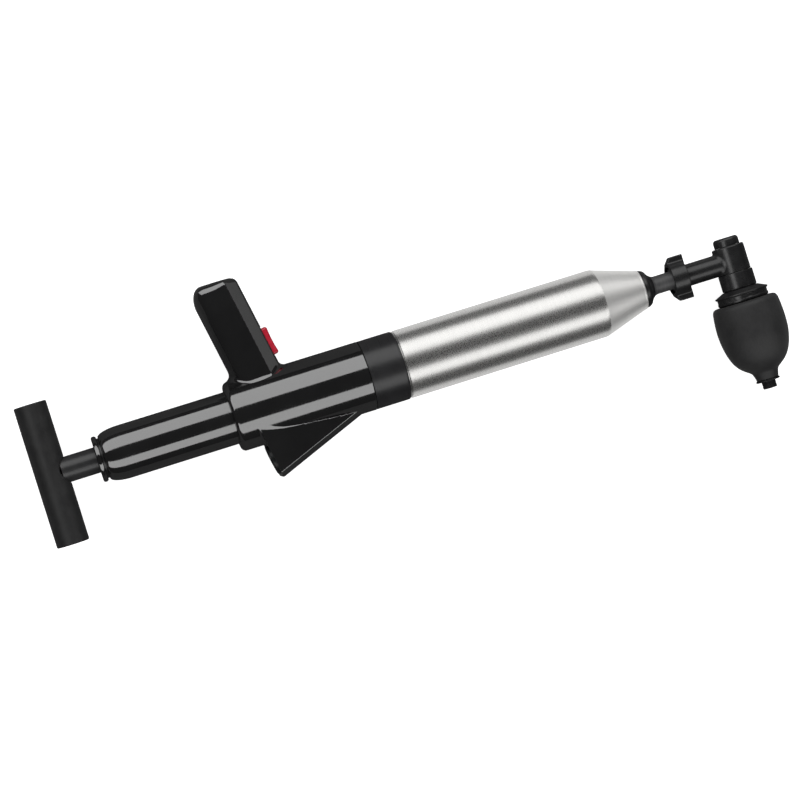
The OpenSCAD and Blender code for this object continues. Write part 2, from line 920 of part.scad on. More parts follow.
// Side outline of the nut's two wings, chamfered at the rear
module nut_wings()
    polygon([[x_nut, -12.5], [x_nut, -hub_r], [x_nut + 4, -nut_r], [x_spigot - 0.4, -nut_r],
        [x_spigot, -nut_r + 0.4], [x_spigot, nut_r - 0.4], [x_spigot - 0.4, nut_r],
        [x_nut + 4, nut_r], [x_nut, hub_r], [x_nut, 12.5]]);

module coupling_nut()
    color([0.07, 0.07, 0.07])
        place()
            difference() {
                union() {
                    lathe_x([[0, x_nut], [hub_r - 0.6, x_nut], [hub_r, x_nut + 0.6],
                        [hub_r, x_spigot - 0.8], [hub_r - 0.8, x_spigot], [0, x_spigot]]);
                    translate([0, 0, -wing_half])
                        linear_extrude(height = 2 * wing_half)
                            nut_wings();
                }
                rod_x(x_nut - over, x_nut + 11.8, 12);
                rod_x(x_nut, x_spigot + over, spigot_r + 0.1);
            }

module face_gasket()
    color([0.1, 0.1, 0.1])
        place()
            tube_x(x_nut + 9 + gap, x_nut + 9.9, 11.2, 4.6);

module elbow_body()
    color([0.07, 0.07, 0.07])
        place()
            difference() {
                union() {
                    rod_x(x_nut + 10, x_nut + 11.7, 11.8);
                    rod_x(x_nut + 11, x_elbow, spigot_r);
                    lathe_head([[0, elbow_bottom], [elbow_r, elbow_bottom],
                        [elbow_r, elbow_top - 0.8], [elbow_r - 0.8, elbow_top], [0, elbow_top]]);
                }
                rod_x(x_nut + 9, x_elbow - 7, 4.5);
                rod_head(elbow_bottom - over, elbow_top + over, 6.6);
                rod_head(-4.5, 4.5, 9.6);
            }

module banjo_bolt()
    color([0.07, 0.07, 0.07])
        place()
            difference() {
                lathe_head([[0, bolt_bottom], [6.5, bolt_bottom], [6.5, -6.6], [5.4, -6.6],
                    [5.4, -5.4], [6.5, -5.4], [6.5, 8.4], [5.4, 8.4], [5.4, 9.6], [6.5, 9.6],
                    [6.5, elbow_top + 0.3], [10.6, elbow_top + 0.3], [11, elbow_top + 0.8],
                    [11, cap_top - 2.4], [10.3, cap_top - 1], [8.9, cap_top - 0.2],
                    [7, cap_top], [0, cap_top]]);
                rod_head(bolt_bottom - over, 3, 3.2);
                rod_x(x_elbow - 8, x_elbow + 8, 2.5);
            }

module banjo_seals()
    color([0.1, 0.1, 0.1])
        place()
            for (y = [-6, 9])
                translate([x_elbow, y, 0])
                    rotate([90, 0, 0])
                        rotate_extrude()
                            translate([6, 0])
                                circle(r = 0.55);

module swivel_sleeve()
    color([0.07, 0.07, 0.07])
        place()
            lathe_head([[6.6, elbow_bottom - 0.15], [sleeve_r - 0.4, elbow_bottom - 0.15],
                [sleeve_r, elbow_bottom - 0.55], [sleeve_r, sleeve_bottom + 1.2],
                [sleeve_r - 1, sleeve_bottom], [6.6, sleeve_bottom]]);

module clamp_ring()
    color([0.07, 0.07, 0.07])
        place()
            lathe_head([[6.6, sleeve_bottom - gap], [15.4, sleeve_bottom - gap], [21.2, -26.9],
                [23.3, -27.6], [23.3, -28.7], [21.7, -29.4], [21.7, -32.6], [22.1, -33.2],
                [22.1, -34.6], [21, bulb_top + gap], [feed_r + gap, bulb_top + gap],
                [feed_r + gap, bolt_bottom - gap], [6.6, bolt_bottom - gap]]);

bulb_outline = [[24, bulb_top], [26.6, -36.3], [28.2, -38], [29, -41], [29.7, -46], [30.15, -52],
    [bulb_r, -56], [30.15, -61], [29.5, -67.5], [28.2, -74.5], [26.5, -80.5], [24.3, -85.5],
    [21.6, -89.6], [18.6, -92.6], [15.3, -94.9], [12.6, -96.8], [11.3, -98.6], [9.6, bulb_bottom]];

module plunger_bulb()
    color([0.09, 0.09, 0.09])
        place()
            lathe_head(concat([[feed_r + 0.1, bulb_top]], bulb_outline,
                [[feed_r + 0.1, bulb_bottom], [feed_r + 0.1, -92], [14, -88], [20, -80],
                    [23.4, -68], [24, -56], [23.4, -46], [19, -41], [feed_r + 0.1, -41]]));

module feed_tube()
    color([0.1, 0.1, 0.1])
        place()
            difference() {
                union() {
                    rod_head(head_bottom, head_bottom + nipple_len, nipple_r);
                    rod_head(head_bottom + over, bolt_bottom - 2 * gap, feed_r);
                }
                rod_head(head_bottom - over, bolt_bottom + over, outlet_bore_r);
            }

module tip_washer()
    color([0.07, 0.07, 0.07])
        place()
            difference() {
                rod_head(bulb_bottom - washer_len + gap, bulb_bottom - gap, 10.4);
                rod_head(bulb_bottom - 4, bulb_bottom + 4, feed_r + gap);
            }

housing_upper();
housing_lower();
housing_screws();
pump_barrel();
rod_bush();
guide_ring();
rod_wiper();
bulkhead();
bulkhead_gasket();
spigot_seal();
collar();
tank_shell();
nozzle_body();
nozzle_seal();
valve_seat();
gland_seal();
check_valve_cage();
check_valve_spring();
gauge_case();
gauge_dial();
gauge_lens();
gauge_bezel();
bourdon_tube();
gauge_line();
trigger_spring();
piston_seal();
piston();
piston_washer();
piston_screw();
pump_rod();
rod_bumper();
rod_end_plug();
cross_tube();
handle_sleeve();
handle_end_plugs();
handle_screw();
trigger_button();
trigger_arm();
pull_rod();
pull_rod_nuts();
valve_yoke();
poppet();
poppet_seal();
check_disc();
gauge_needle();
coupling_nut();
elbow_body();
face_gasket();
banjo_bolt();
banjo_seals();
swivel_sleeve();
clamp_ring();
plunger_bulb();
feed_tube();
tip_washer();
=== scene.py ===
import json
import math

import bmesh
import bpy
import numpy as np
from mathutils import Matrix, Vector


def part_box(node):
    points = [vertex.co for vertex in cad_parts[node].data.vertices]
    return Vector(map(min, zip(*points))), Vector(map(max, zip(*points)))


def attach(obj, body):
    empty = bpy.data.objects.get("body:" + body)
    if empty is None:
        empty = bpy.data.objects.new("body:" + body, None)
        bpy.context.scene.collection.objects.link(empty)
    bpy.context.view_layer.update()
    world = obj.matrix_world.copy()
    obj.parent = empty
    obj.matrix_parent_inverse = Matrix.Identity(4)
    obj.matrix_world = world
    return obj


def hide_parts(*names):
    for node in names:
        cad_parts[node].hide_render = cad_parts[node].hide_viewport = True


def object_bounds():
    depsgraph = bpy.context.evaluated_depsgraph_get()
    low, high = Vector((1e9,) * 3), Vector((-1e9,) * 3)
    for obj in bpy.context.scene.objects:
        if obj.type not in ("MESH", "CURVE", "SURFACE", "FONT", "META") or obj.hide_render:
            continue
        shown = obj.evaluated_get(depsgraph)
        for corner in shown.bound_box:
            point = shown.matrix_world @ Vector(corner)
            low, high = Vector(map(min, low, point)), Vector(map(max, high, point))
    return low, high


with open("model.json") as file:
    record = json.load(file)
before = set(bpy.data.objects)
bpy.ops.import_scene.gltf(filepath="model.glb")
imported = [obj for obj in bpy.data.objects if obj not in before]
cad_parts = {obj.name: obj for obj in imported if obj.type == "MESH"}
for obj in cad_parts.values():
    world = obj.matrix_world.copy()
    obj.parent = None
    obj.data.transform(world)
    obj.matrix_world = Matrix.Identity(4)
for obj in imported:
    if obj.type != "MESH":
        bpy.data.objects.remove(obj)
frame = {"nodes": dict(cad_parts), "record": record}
CAD_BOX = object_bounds()

# --- Stations ---
# Shapes are drawn in the barrel frame: millimetres from the back of the cross bar, x along the
# barrel, y towards the grip, z up, on the axis.

MM = 0.001
MICRON = 1e-6
HOUSING_SPAN = 118.3        # from the housing's rear face to the collar
CONE_LEN = 39.3
DOME_LEN = 13.1
HOUSING_GAP = 0.05          # between housing and collar
TANK_GAP = 0.3              # between collar and tank


def low(node):
    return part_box(node)[0]


def high(node):
    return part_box(node)[1]


def middle(node):
    return (low(node) + high(node)) / 2


BARREL_AXIS = middle("pump_barrel")
ORIGIN = Vector((CAD_BOX[0].x, BARREL_AXIS.y, BARREL_AXIS.z))


def station(value):
    """A place along the part's x axis, in metres, as a station in the barrel frame."""
    return (value - ORIGIN.x) / MM


X_HANDLE = station(middle("cross_tube").x)
X_RING = station(low("guide_ring").x)
X_BARREL = station(low("pump_barrel").x)
X_COLLAR = station(low("collar").x) - HOUSING_GAP
X_HOUSING = X_COLLAR - HOUSING_SPAN
X_TANK = station(high("collar").x) + TANK_GAP
X_DOME = station(high("tank_shell").x)
X_CONE = X_DOME - CONE_LEN
X_SHAFT = X_DOME + DOME_LEN
X_NUT = station(low("coupling_nut").x)
X_SPIGOT = station(high("coupling_nut").x)
X_ELBOW = station(middle("swivel_sleeve").x)


def half_size(node, axis):
    """Half of a node's length along an axis, in millimetres."""
    return (high(node)[axis] - low(node)[axis]) / 2 / MM


HANDLE_R = half_size("handle_sleeve", 2)
HANDLE_LEN = 2 * half_size("handle_sleeve", 1)
ROD_R = half_size("pump_rod", 2)
BARREL_R = half_size("pump_barrel", 2)
HOUSING_R = (high("housing_upper").z - ORIGIN.z) / MM
COLLAR_R = half_size("collar", 2)
TANK_R = half_size("tank_shell", 2)
NUT_R = half_size("coupling_nut", 1)
ELBOW_R = half_size("elbow_body", 2)
SLEEVE_R = half_size("swivel_sleeve", 2)
NIPPLE_R = half_size("feed_tube", 2)
SHAFT_R = 7.8
SPIGOT_R = 9.5
NUT_HUB_R = 14.2
NUT_WING_HALF = 4.4


def rise(corner):
    """How far a corner of a node's box is from the barrel axis, towards the grip."""
    return (corner.y - ORIGIN.y) / MM


GRIP_END = rise(CAD_BOX[1])
HEAD_BOTTOM = rise(low("feed_tube"))
TUBE_TOP = rise(high("feed_tube"))
WASHER_BOTTOM = rise(low("tip_washer"))
BULB_BOTTOM = rise(low("plunger_bulb"))
BULB_TOP = rise(high("plunger_bulb"))
SLEEVE_TOP = rise(high("swivel_sleeve"))
SLEEVE_BOTTOM = rise(low("swivel_sleeve"))
CAP_TOP = rise(high("banjo_bolt"))
ELBOW_TOP = rise(high("elbow_body"))

AXIS_X = Matrix(((0, 0, 1), (1, 0, 0), (0, 1, 0)))      # a lathe's length runs along x
AXIS_Y = Matrix(((0, 1, 0), (0, 0, 1), (1, 0, 0)))      # a lathe's length runs along y

# --- Mesh helpers ---

NORMAL_WEIGHT = 60
CORNER_STEPS = 4
WELD_REACH = 1e-6


def to_part(points):
    """Barrel-frame millimetres to the part's frame in metres."""
    return np.asarray(points, float) * MM + np.array(ORIGIN)


def place(name, data):
    """A new object in the scene."""
    made = bpy.data.objects.new(name, data)
    bpy.context.scene.collection.objects.link(made)
    return made


def add_mesh(name, points, faces, smooth=True):
    """Makes a piece from barrel-frame points, with soft shading on its curves unless told not to."""
    mesh = bpy.data.meshes.new(name)
    mesh.from_pydata([tuple(p) for p in to_part(points)], [], faces)
    mesh.validate()
    mesh.update()
    piece = place(name, mesh)
    if smooth:
        mesh.polygons.foreach_set("use_smooth", [True] * len(mesh.polygons))
        normals = piece.modifiers.new("normals", "WEIGHTED_NORMAL")
        normals.mode = "FACE_AREA"
        normals.weight = NORMAL_WEIGHT
        normals.keep_sharp = True
    return piece


def fillet(points):
    """Rounds each corner of an outline. A point is (length, radius) or (length, radius, corner radius)."""
    made = []
    for i, p in enumerate(points):
        here = Vector(p[:2])
        corner = p[2] if len(p) > 2 else 0
        if not corner or i in (0, len(points) - 1):
            made.append(here)
            continue
        before, after = Vector(points[i - 1][:2]) - here, Vector(points[i + 1][:2]) - here
        reach = min(corner, before.length * 0.48, after.length * 0.48)
        start, end = here + before.normalized() * reach, here + after.normalized() * reach
        for k in range(CORNER_STEPS + 1):
            t = k / CORNER_STEPS
            made.append(start * (1 - t) ** 2 + here * 2 * t * (1 - t) + end * t * t)
    return made


def lathe_points(outline, turn, centre, sides, wobble=None):
    """The points and quads of an outline turned about its axis; wobble changes the radius."""
    points, faces = [], []
    for length, radius in outline:
        for k in range(sides):
            a = 2 * math.pi * k / sides
            r = radius if wobble is None else radius + wobble(length, a, radius)
            points.append(turn @ Vector((r * math.cos(a), r * math.sin(a), length)) + centre)
    for i in range(len(outline) - 1):
        for k in range(sides):
            n = (k + 1) % sides
            faces.append((i * sides + k, i * sides + n, (i + 1) * sides + n, (i + 1) * sides + k))
    return points, faces


def lathe(name, outline, turn=AXIS_X, centre=(0, 0, 0), sides=128, wobble=None):
    """Revolves a closed outline of (length, radius, corner radius) points."""
    ring = fillet(outline)
    points, faces = lathe_points([*ring, ring[0]], turn, Vector(centre), sides, wobble)
    piece = add_mesh(name, points, faces)
    weld(piece)
    return piece


def weld(piece, smooth=True):
    """Merges points that meet and turns every face outwards."""
    work = bmesh.new()
    work.from_mesh(piece.data)
    bmesh.ops.remove_doubles(work, verts=work.verts, dist=WELD_REACH)
    bmesh.ops.recalc_face_normals(work, faces=work.faces)
    work.to_mesh(piece.data)
    work.free()
    piece.data.polygons.foreach_set("use_smooth", [smooth] * len(piece.data.polygons))
    piece.data.update()


def finish_piece(piece, body, slot, *nodes, finish=None):
    """Gives a piece its material, taken from its record slot unless a finish is given, puts it on its body
    and hides the CAD nodes it stands for.
    """
    piece.data.materials.clear()
    piece.data.materials.append(finish or FINISH[slot])
    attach(piece, body)
    if nodes:
        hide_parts(*nodes)


# --- Materials ---


class Recipe:
    """A node material: one Principled shader fed by procedural textures in object space."""

    def __init__(self, name, **sockets):
        self.material = bpy.data.materials.new(name)
        self.material.use_nodes = True
        self.tree = self.material.node_tree
        self.shader = self.tree.nodes["Principled BSDF"]
        self.coords = self.tree.nodes.new("ShaderNodeTexCoord")
        self.fill(self.shader, sockets)

    def fill(self, node, sockets):
        for key, value in sockets.items():
            node.inputs[key.replace("_", " ")].default_value = value

    def add(self, kind, **sockets):
        """A new node with values on its sockets."""
        node = self.tree.nodes.new("ShaderNode" + kind)
        self.fill(node, sockets)
        return node

    def link(self, a, b):
        self.tree.links.new(a, b)

    def noise(self, scale, detail=3.0, rough=0.55, stretch=(1, 1, 1)):
        """Noise in object space, with scale in features per metre."""
        stretched = self.add("Mapping", Scale=stretch)
        self.link(self.coords.outputs["Object"], stretched.inputs["Vector"])
        node = self.add("TexNoise", Scale=scale, Detail=detail, Roughness=rough)
        self.link(stretched.outputs["Vector"], node.inputs["Vector"])
        return node.outputs["Fac"]

    def cells(self, scale):
        """Distance to the nearest of some scattered points, for a pebbled skin."""
        node = self.add("TexVoronoi", Scale=scale)
        self.link(self.coords.outputs["Object"], node.inputs["Vector"])
        return node.outputs["Distance"]

    def spread(self, source, low_value, high_value, start=0.3, end=0.7):
        """Maps a texture's range from start to end onto two values."""
        node = self.add("MapRange", From_Min=start, From_Max=end, To_Min=low_value, To_Max=high_value)
        self.link(source, node.inputs["Value"])
        return node.outputs["Result"]

    def blend(self, factor, first, second):
        """Mixes two colours, each either a tuple or another node's output."""
        node = self.add("Mix")
        node.data_type = "RGBA"
        for socket, value in (("A", first), ("B", second)):
            target = [s for s in node.inputs if s.name == socket and s.type == "RGBA"][0]
            if isinstance(value, tuple):
                target.default_value = (*value, 1)
            else:
                self.link(value, target)
        self.link(factor, [s for s in node.inputs if s.name == "Factor" and s.type == "VALUE"][0])
        return [s for s in node.outputs if s.type == "RGBA"][0]

    def multiply(self, first, second):
        node = self.add("Math")
        node.operation = "MULTIPLY"
        self.link(first, node.inputs[0])
        self.link(second, node.inputs[1])
        return node.outputs[0]

    def colour(self, source):
        self.link(source, self.shader.inputs["Base Color"])

    def tint(self, source, dark, bright):
        """Colours the surface between two tones, following a texture."""
        self.colour(self.blend(self.spread(source, 0, 1), dark, bright))

    def roughness(self, source, *values):
        self.link(self.spread(source, *values), self.shader.inputs["Roughness"])

    def bump(self, *layers):
        """Stacks (height, depth in microns) layers into the shader's normal."""
        normal = None
        for source, depth in layers:
            node = self.add("Bump", Strength=1.0, Distance=depth * MICRON)
            self.link(source, node.inputs["Height"])
            if normal is not None:
                self.link(normal, node.inputs["Normal"])
            normal = node.outputs["Normal"]
        self.link(normal, self.shader.inputs["Normal"])


def gloss_black():
    """Polished black moulding: faint orange peel, dust and fine rubbing marks."""
    r = Recipe("gloss_black", Specular_IOR_Level=0.9, IOR=1.8)
    cloud = r.noise(35, 4)
    dust = r.noise(900, 2, 0.7)
    r.tint(cloud, (0.006, 0.006, 0.0063), (0.0095, 0.0095, 0.0098))
    r.roughness(r.multiply(cloud, dust), 0.07, 0.13, 0.12, 0.42)
    r.bump((r.noise(160, 2), 12), (r.noise(2600, 2), 1.2))
    return r.material


def satin_black():
    """Collar plastic with a fine turned finish."""
    r = Recipe("satin_black", Specular_IOR_Level=0.5)
    turned = r.noise(14, 3, 0.6, (160, 1, 1))
    cloud = r.noise(60, 3)
    r.tint(cloud, (0.013, 0.013, 0.014), (0.021, 0.021, 0.022))
    r.roughness(turned, 0.27, 0.38)
    r.bump((turned, 12), (r.noise(3000, 2), 2))
    return r.material


def fitting_black():
    """Glass-filled nylon fittings: slightly grainy, semi-gloss."""
    r = Recipe("fitting_black", Specular_IOR_Level=0.5)
    cloud = r.noise(120, 4)
    grain = r.noise(2200, 3, 0.6)
    r.tint(cloud, (0.008, 0.008, 0.0085), (0.015, 0.015, 0.0155))
    r.roughness(grain, 0.24, 0.36)
    r.bump((r.noise(500, 3), 20), (grain, 6))
    return r.material


def grip_black():
    """Foam-rubber sleeve of the T-handle: matte with a pebbled skin."""
    r = Recipe("grip_black", Specular_IOR_Level=0.4, Sheen_Weight=0.05, Sheen_Roughness=0.6)
    pebble = r.cells(1500)
    cloud = r.noise(90, 4)
    r.tint(cloud, (0.007, 0.007, 0.0073), (0.013, 0.013, 0.0133))
    r.roughness(cloud, 0.4, 0.5)
    r.bump((pebble, 60), (r.noise(4200, 2), 10))
    return r.material


def rod_black():
    """Black-coated steel tube with fine lengthwise rubbing."""
    r = Recipe("rod_black", Specular_IOR_Level=0.5)
    rub = r.noise(30, 3, 0.6, (1, 60, 60))
    cloud = r.noise(80, 3)
    r.tint(cloud, (0.02, 0.02, 0.021), (0.034, 0.034, 0.035))
    r.roughness(rub, 0.26, 0.4)
    r.bump((rub, 6), (r.noise(2400, 2), 3))
    return r.material


def bulb_rubber():
    """Moulded rubber: dull skin with faint bloom, mould grain and a hint of sheen."""
    r = Recipe("bulb_rubber", Specular_IOR_Level=0.4, Sheen_Weight=0.12, Sheen_Roughness=0.45)
    bloom = r.noise(55, 5, 0.6)
    skin = r.noise(1400, 4, 0.65)
    r.tint(bloom, (0.013, 0.013, 0.0135), (0.024, 0.024, 0.0245))
    r.roughness(bloom, 0.48, 0.62)
    r.bump((r.noise(260, 4), 80), (skin, 30))
    return r.material


def seal_rubber():
    """Dull rubber of the seals and gaskets."""
    r = Recipe("seal_rubber", Specular_IOR_Level=0.4)
    skin = r.noise(900, 4, 0.6)
    r.tint(skin, (0.012, 0.012, 0.012), (0.024, 0.024, 0.024))
    r.roughness(skin, 0.45, 0.65)
    r.bump((skin, 20))
    return r.material


def tank_steel(name, dark, bright, rough_low, rough_high, anisotropy):
    """Stainless steel with faint marks running round its circumference."""
    r = Recipe(name, Metallic=1.0, Anisotropic=anisotropy)
    fine = r.noise(20, 4, 0.7, (130, 1, 1))
    coarse = r.noise(9, 3, 0.6, (26, 1, 1))
    grain = r.noise(1500, 3, 0.6)
    light = r.blend(r.spread(fine, 0, 1, 0.2, 0.8), dark, bright)
    r.colour(r.blend(r.spread(coarse, 0, 0.3), light, dark))
    r.roughness(grain, rough_low, rough_high)
    r.bump((coarse, 4), (fine, 3), (grain, 2))
    tangent = r.add("Tangent")
    tangent.direction_type = "RADIAL"
    tangent.axis = "X"
    r.link(tangent.outputs["Tangent"], r.shader.inputs["Tangent"])
    return r.material


def brushed_tank():
    """The tank's tube, brushed round."""
    return tank_steel("brushed_tank", (0.5, 0.495, 0.485), (0.6, 0.595, 0.58), 0.25, 0.31, 0.5)


def cone_steel():
    """The blasted cone, paler and more matte than the tube."""
    return tank_steel("cone_steel", (0.7, 0.695, 0.68), (0.8, 0.795, 0.78), 0.46, 0.54, 0.1)


def plain_steel():
    """Turned steel of shafts, seats and screws."""
    r = Recipe("plain_steel", Metallic=1.0)
    turned = r.noise(40, 3, 0.6, (40, 4, 4))
    r.tint(turned, (0.42, 0.42, 0.43), (0.58, 0.58, 0.58))
    r.roughness(r.noise(600, 3), 0.2, 0.36)
    r.bump((turned, 10))
    return r.material


def spring_steel():
    """Drawn wire, with its marks along the coil."""
    r = Recipe("spring_steel", Metallic=1.0)
    drawn = r.noise(900, 3)
    r.tint(drawn, (0.38, 0.38, 0.4), (0.56, 0.56, 0.57))
    r.roughness(drawn, 0.18, 0.34)
    r.bump((drawn, 8))
    return r.material


def valve_brass():
    """Turned brass with a little tarnish."""
    r = Recipe("valve_brass", Metallic=1.0)
    turned = r.noise(40, 3, 0.6, (40, 4, 4))
    tarnish = r.noise(160, 4)
    bright = r.blend(r.spread(turned, 0, 1), (0.62, 0.44, 0.18), (0.78, 0.58, 0.27))
    r.colour(r.blend(r.spread(tarnish, 0, 0.4), bright, (0.38, 0.25, 0.1)))
    r.roughness(tarnish, 0.2, 0.38)
    r.bump((turned, 8))
    return r.material


def white_plastic():
    """Off-white moulding of the inner parts."""
    r = Recipe("white_plastic")
    cloud = r.noise(150, 4)
    r.tint(cloud, (0.62, 0.61, 0.56), (0.74, 0.73, 0.69))
    r.roughness(cloud, 0.35, 0.5)
    r.bump((r.noise(1200, 3), 12))
    return r.material


def dial_white():
    """Painted dial."""
    r = Recipe("dial_white")
    cloud = r.noise(220, 3)
    r.tint(cloud, (0.78, 0.78, 0.75), (0.86, 0.86, 0.84))
    r.roughness(cloud, 0.38, 0.48)
    r.bump((r.noise(3000, 2), 4))
    return r.material


def shaft_grey():
    """The nozzle's shaft: the same plastic, rubbed dull and lighter."""
    r = Recipe("shaft_grey", Specular_IOR_Level=0.5)
    rub = r.noise(30, 4, 0.6, (40, 3, 3))
    r.tint(rub, (0.045, 0.045, 0.046), (0.075, 0.075, 0.076))
    r.roughness(rub, 0.42, 0.55)
    r.bump((rub, 10), (r.noise(2400, 2), 4))
    return r.material


def print_black():
    """Ink of the dial's marks."""
    r = Recipe("print_black")
    ink = r.noise(1600, 3)
    r.tint(ink, (0.01, 0.01, 0.01), (0.025, 0.025, 0.025))
    r.roughness(ink, 0.4, 0.6)
    return r.material


def lens_clear():
    """Clear lens with slight haze."""
    r = Recipe("lens_clear", Transmission_Weight=1.0, IOR=1.49)
    haze = r.noise(300, 3)
    r.tint(haze, (0.94, 0.96, 0.97), (0.98, 0.99, 0.99))
    r.roughness(haze, 0.02, 0.07)
    return r.material


def needle_red():
    """Painted needle and limit zone."""
    r = Recipe("needle_red")
    paint = r.noise(700, 3)
    r.tint(paint, (0.5, 0.02, 0.02), (0.62, 0.04, 0.03))
    r.roughness(paint, 0.3, 0.45)
    return r.material


def trigger_red():
    """Red moulded trigger with a soft polish and a little rubbing on its face."""
    r = Recipe("trigger_red", Specular_IOR_Level=0.5)
    cloud = r.noise(240, 4)
    r.tint(cloud, (0.5, 0.016, 0.038), (0.62, 0.03, 0.055))
    r.roughness(r.noise(1400, 3), 0.16, 0.26)
    r.bump((r.noise(700, 3), 10), (r.noise(3000, 2), 3))
    return r.material


FINISH = {make.__name__: make() for make in (
    gloss_black, satin_black, fitting_black, grip_black, rod_black, bulb_rubber, seal_rubber,
    brushed_tank, plain_steel, spring_steel, valve_brass, white_plastic, dial_white, lens_clear,
    needle_red, trigger_red)}
PRINT = print_black()
SHAFT_GREY = shaft_grey()
CONE_STEEL = cone_steel()


def dress_cad_nodes():
    """Every CAD node gets its slot's procedural material; the ones that stay in view use it."""
    for part in frame["record"]["subparts"]:
        node = frame["nodes"][part["node"]]
        node.data.materials.clear()
        node.data.materials.append(FINISH[part["material_slot"]])


# --- Housing: a distance field with rounded joins, meshed and split at the seam ---
# Its local x runs from the housing's rear face.

WALL = 2.5
HOUSING_LEN = 118.0         # the shells stop just short of the collar
GRIP_X, GRIP_LEAN, GRIP_FRONT, GRIP_HALF = 35.8, math.radians(10), 20.6, 18.5
GRIP_ROOT = 16              # the grip starts this far up, inside the trunk
BACK_START, BACK_DEPTH = -6.6, 14
FACET = 12.2
POD_X, POD_LEAN, POD_RISE = 15.1, math.radians(9.8), math.radians(20.9)
POD_BEVEL = 4.6
GAUGE_Y, GAUGE_R = -43.5, 11.6
TRIGGER_START, TRIGGER_LEN, TRIGGER_HALF = 36.6, 24.4, 5.0
BOSS_R, SCREW_HOLE_R = 4.6, 3.1
SCREWS = ((7.5, 26.3), (7.5, -26.3), (GRIP_X - 75 * math.sin(GRIP_LEAN), 75 * math.cos(GRIP_LEAN)),
          (GRIP_X - 98 * math.sin(GRIP_LEAN), 98 * math.cos(GRIP_LEAN)), (69.5, -34.0))


def round_cut(a, b, r):
    """Both fields at once, with the edge between them rounded to radius r."""
    return np.minimum(-r, np.maximum(a, b)) + np.hypot(np.maximum(a + r, 0), np.maximum(b + r, 0))


def round_join(a, b, r):
    """Either field, with a fillet of radius r between them."""
    return np.maximum(r, np.minimum(a, b)) - np.hypot(np.maximum(r - a, 0), np.maximum(r - b, 0))


def trunk_field(x, y, z):
    """The housing's round body, with a rounded rear edge."""
    return round_cut(np.hypot(y, z) - HOUSING_R, -x, 4.5)


def grip_axes(x, y):
    """Place across the grip, forwards, and along it, from the barrel axis."""
    c, s = math.cos(GRIP_LEAN), math.sin(GRIP_LEAN)
    return (x - GRIP_X) * c + y * s, -(x - GRIP_X) * s + y * c


def grip_field(x, y, z):
    """Rounded at the back, with a facet at each front corner and a crowned end cut with the barrel."""
    u = grip_axes(x, y)[0]
    ahead = u - BACK_START
    back = (np.hypot(ahead / BACK_DEPTH, z / GRIP_HALF) - 1) * GRIP_HALF
    sides = np.where(ahead < 0, back, np.abs(z) - GRIP_HALF) + 0.0035 * np.maximum(ahead, 0) ** 2
    facet = (np.abs(z) + u - (GRIP_FRONT + GRIP_HALF - FACET)) / math.sqrt(2)
    section = round_cut(round_cut(sides, facet, 0.35), u - GRIP_FRONT, 1.6)
    crown = y - GRIP_END + 0.15 + 0.0028 * z * z
    end_r = np.interp(u, (-20, 0, 12, 20), (19, 14, 8, 6)) * np.interp(np.abs(z), (4, 15), (1, 0.5))
    return round_cut(section, crown, end_r)


def pod_field(x, y, z):
    """The gauge's pod: it narrows and rises to the front, with a bevel under each side."""
    width = np.interp(x, (-4, 15, 38.5, 60.5, 105), (27, 26.4, 21.8, 19, 14))
    under = (-58.6 + (x - 27.5) * math.tan(POD_RISE) - y) * math.cos(POD_RISE)
    rear = -(x - POD_X) * math.cos(POD_LEAN) - y * math.sin(POD_LEAN)
    bevel = ((np.abs(z) - width) + under + POD_BEVEL) / math.sqrt(2)
    belly = round_cut(np.maximum((np.abs(z) - width) * 0.985, under), bevel, 0.3)
    return round_cut(round_cut(belly, rear, 0.7), y - 4, 1)


def outside_field(x, y, z):
    """Trunk, grip and pod, with a fillet that changes round the grip's root."""
    u, v = grip_axes(x, y)
    fillet_r = np.interp(u, (-24, -14, 2, 11, 20), (9, 6, 7.5, 4.5, 4.5))
    fillet_r = fillet_r * np.interp(np.abs(z), (0, 10, 17), (1, 0.75, 0.27))
    body = round_join(trunk_field(x, y, z), np.maximum(grip_field(x, y, z), GRIP_ROOT - v), fillet_r)
    blend_r = np.interp(x, (12, 30, 55, 95), (2.4, 1.3, 0.15, 0.1))
    body = round_join(body, pod_field(x, y, z), blend_r)
    return round_cut(body, x - HOUSING_LEN, 0.5)


def inside_field(x, y, z):
    """The hollow, one wall inside the outer skin."""
    trunk = round_cut(np.hypot(y, z) - HOUSING_R + WALL, WALL - x, 2)
    grip = np.maximum(grip_field(x, y, z) + WALL, GRIP_ROOT - grip_axes(x, y)[1])
    return np.minimum(np.minimum(trunk, grip), pod_field(x, y, z) + WALL)


def screw_field(x, y, radius):
    """Round posts at the housing screws."""
    return np.minimum.reduce([np.hypot(x - p, y - q) for p, q in SCREWS]) - radius


def half_field(side):
    """The housing half on one side of the seam, with its holes."""
    def field(x, y, z):
        out = outside_field(x, y, z)
        solid = round_cut(out, -inside_field(x, y, z), 0.4)
        if side < 0:
            solid = np.minimum(solid, np.maximum(screw_field(x, y, BOSS_R), out))
            solid = round_cut(solid, -np.maximum(screw_field(x, y, SCREW_HOLE_R), z + 4.4), 0.4)
        solid = round_cut(solid, BARREL_R + 0.12 - np.hypot(y, z), 0.6)
        u, v = grip_axes(x, y)
        window = np.maximum(np.maximum(np.abs(z) - TRIGGER_HALF - 0.3, 8.6 - u),
                            np.abs(v - TRIGGER_START - TRIGGER_LEN / 2 - 0.4) - TRIGGER_LEN / 2 - 0.8)
        solid = round_cut(solid, -window, 0.5)
        depth = -(x - POD_X) * math.cos(POD_LEAN) - y * math.sin(POD_LEAN)
        along = (y - GAUGE_Y) / math.cos(POD_LEAN)
        hole = np.maximum(np.hypot(along, z) - GAUGE_R - 0.3, np.abs(depth) - 5)
        solid = round_cut(solid, -hole, 0.4)
        return round_cut(solid, 0.06 - side * z, 0.35)
    return field


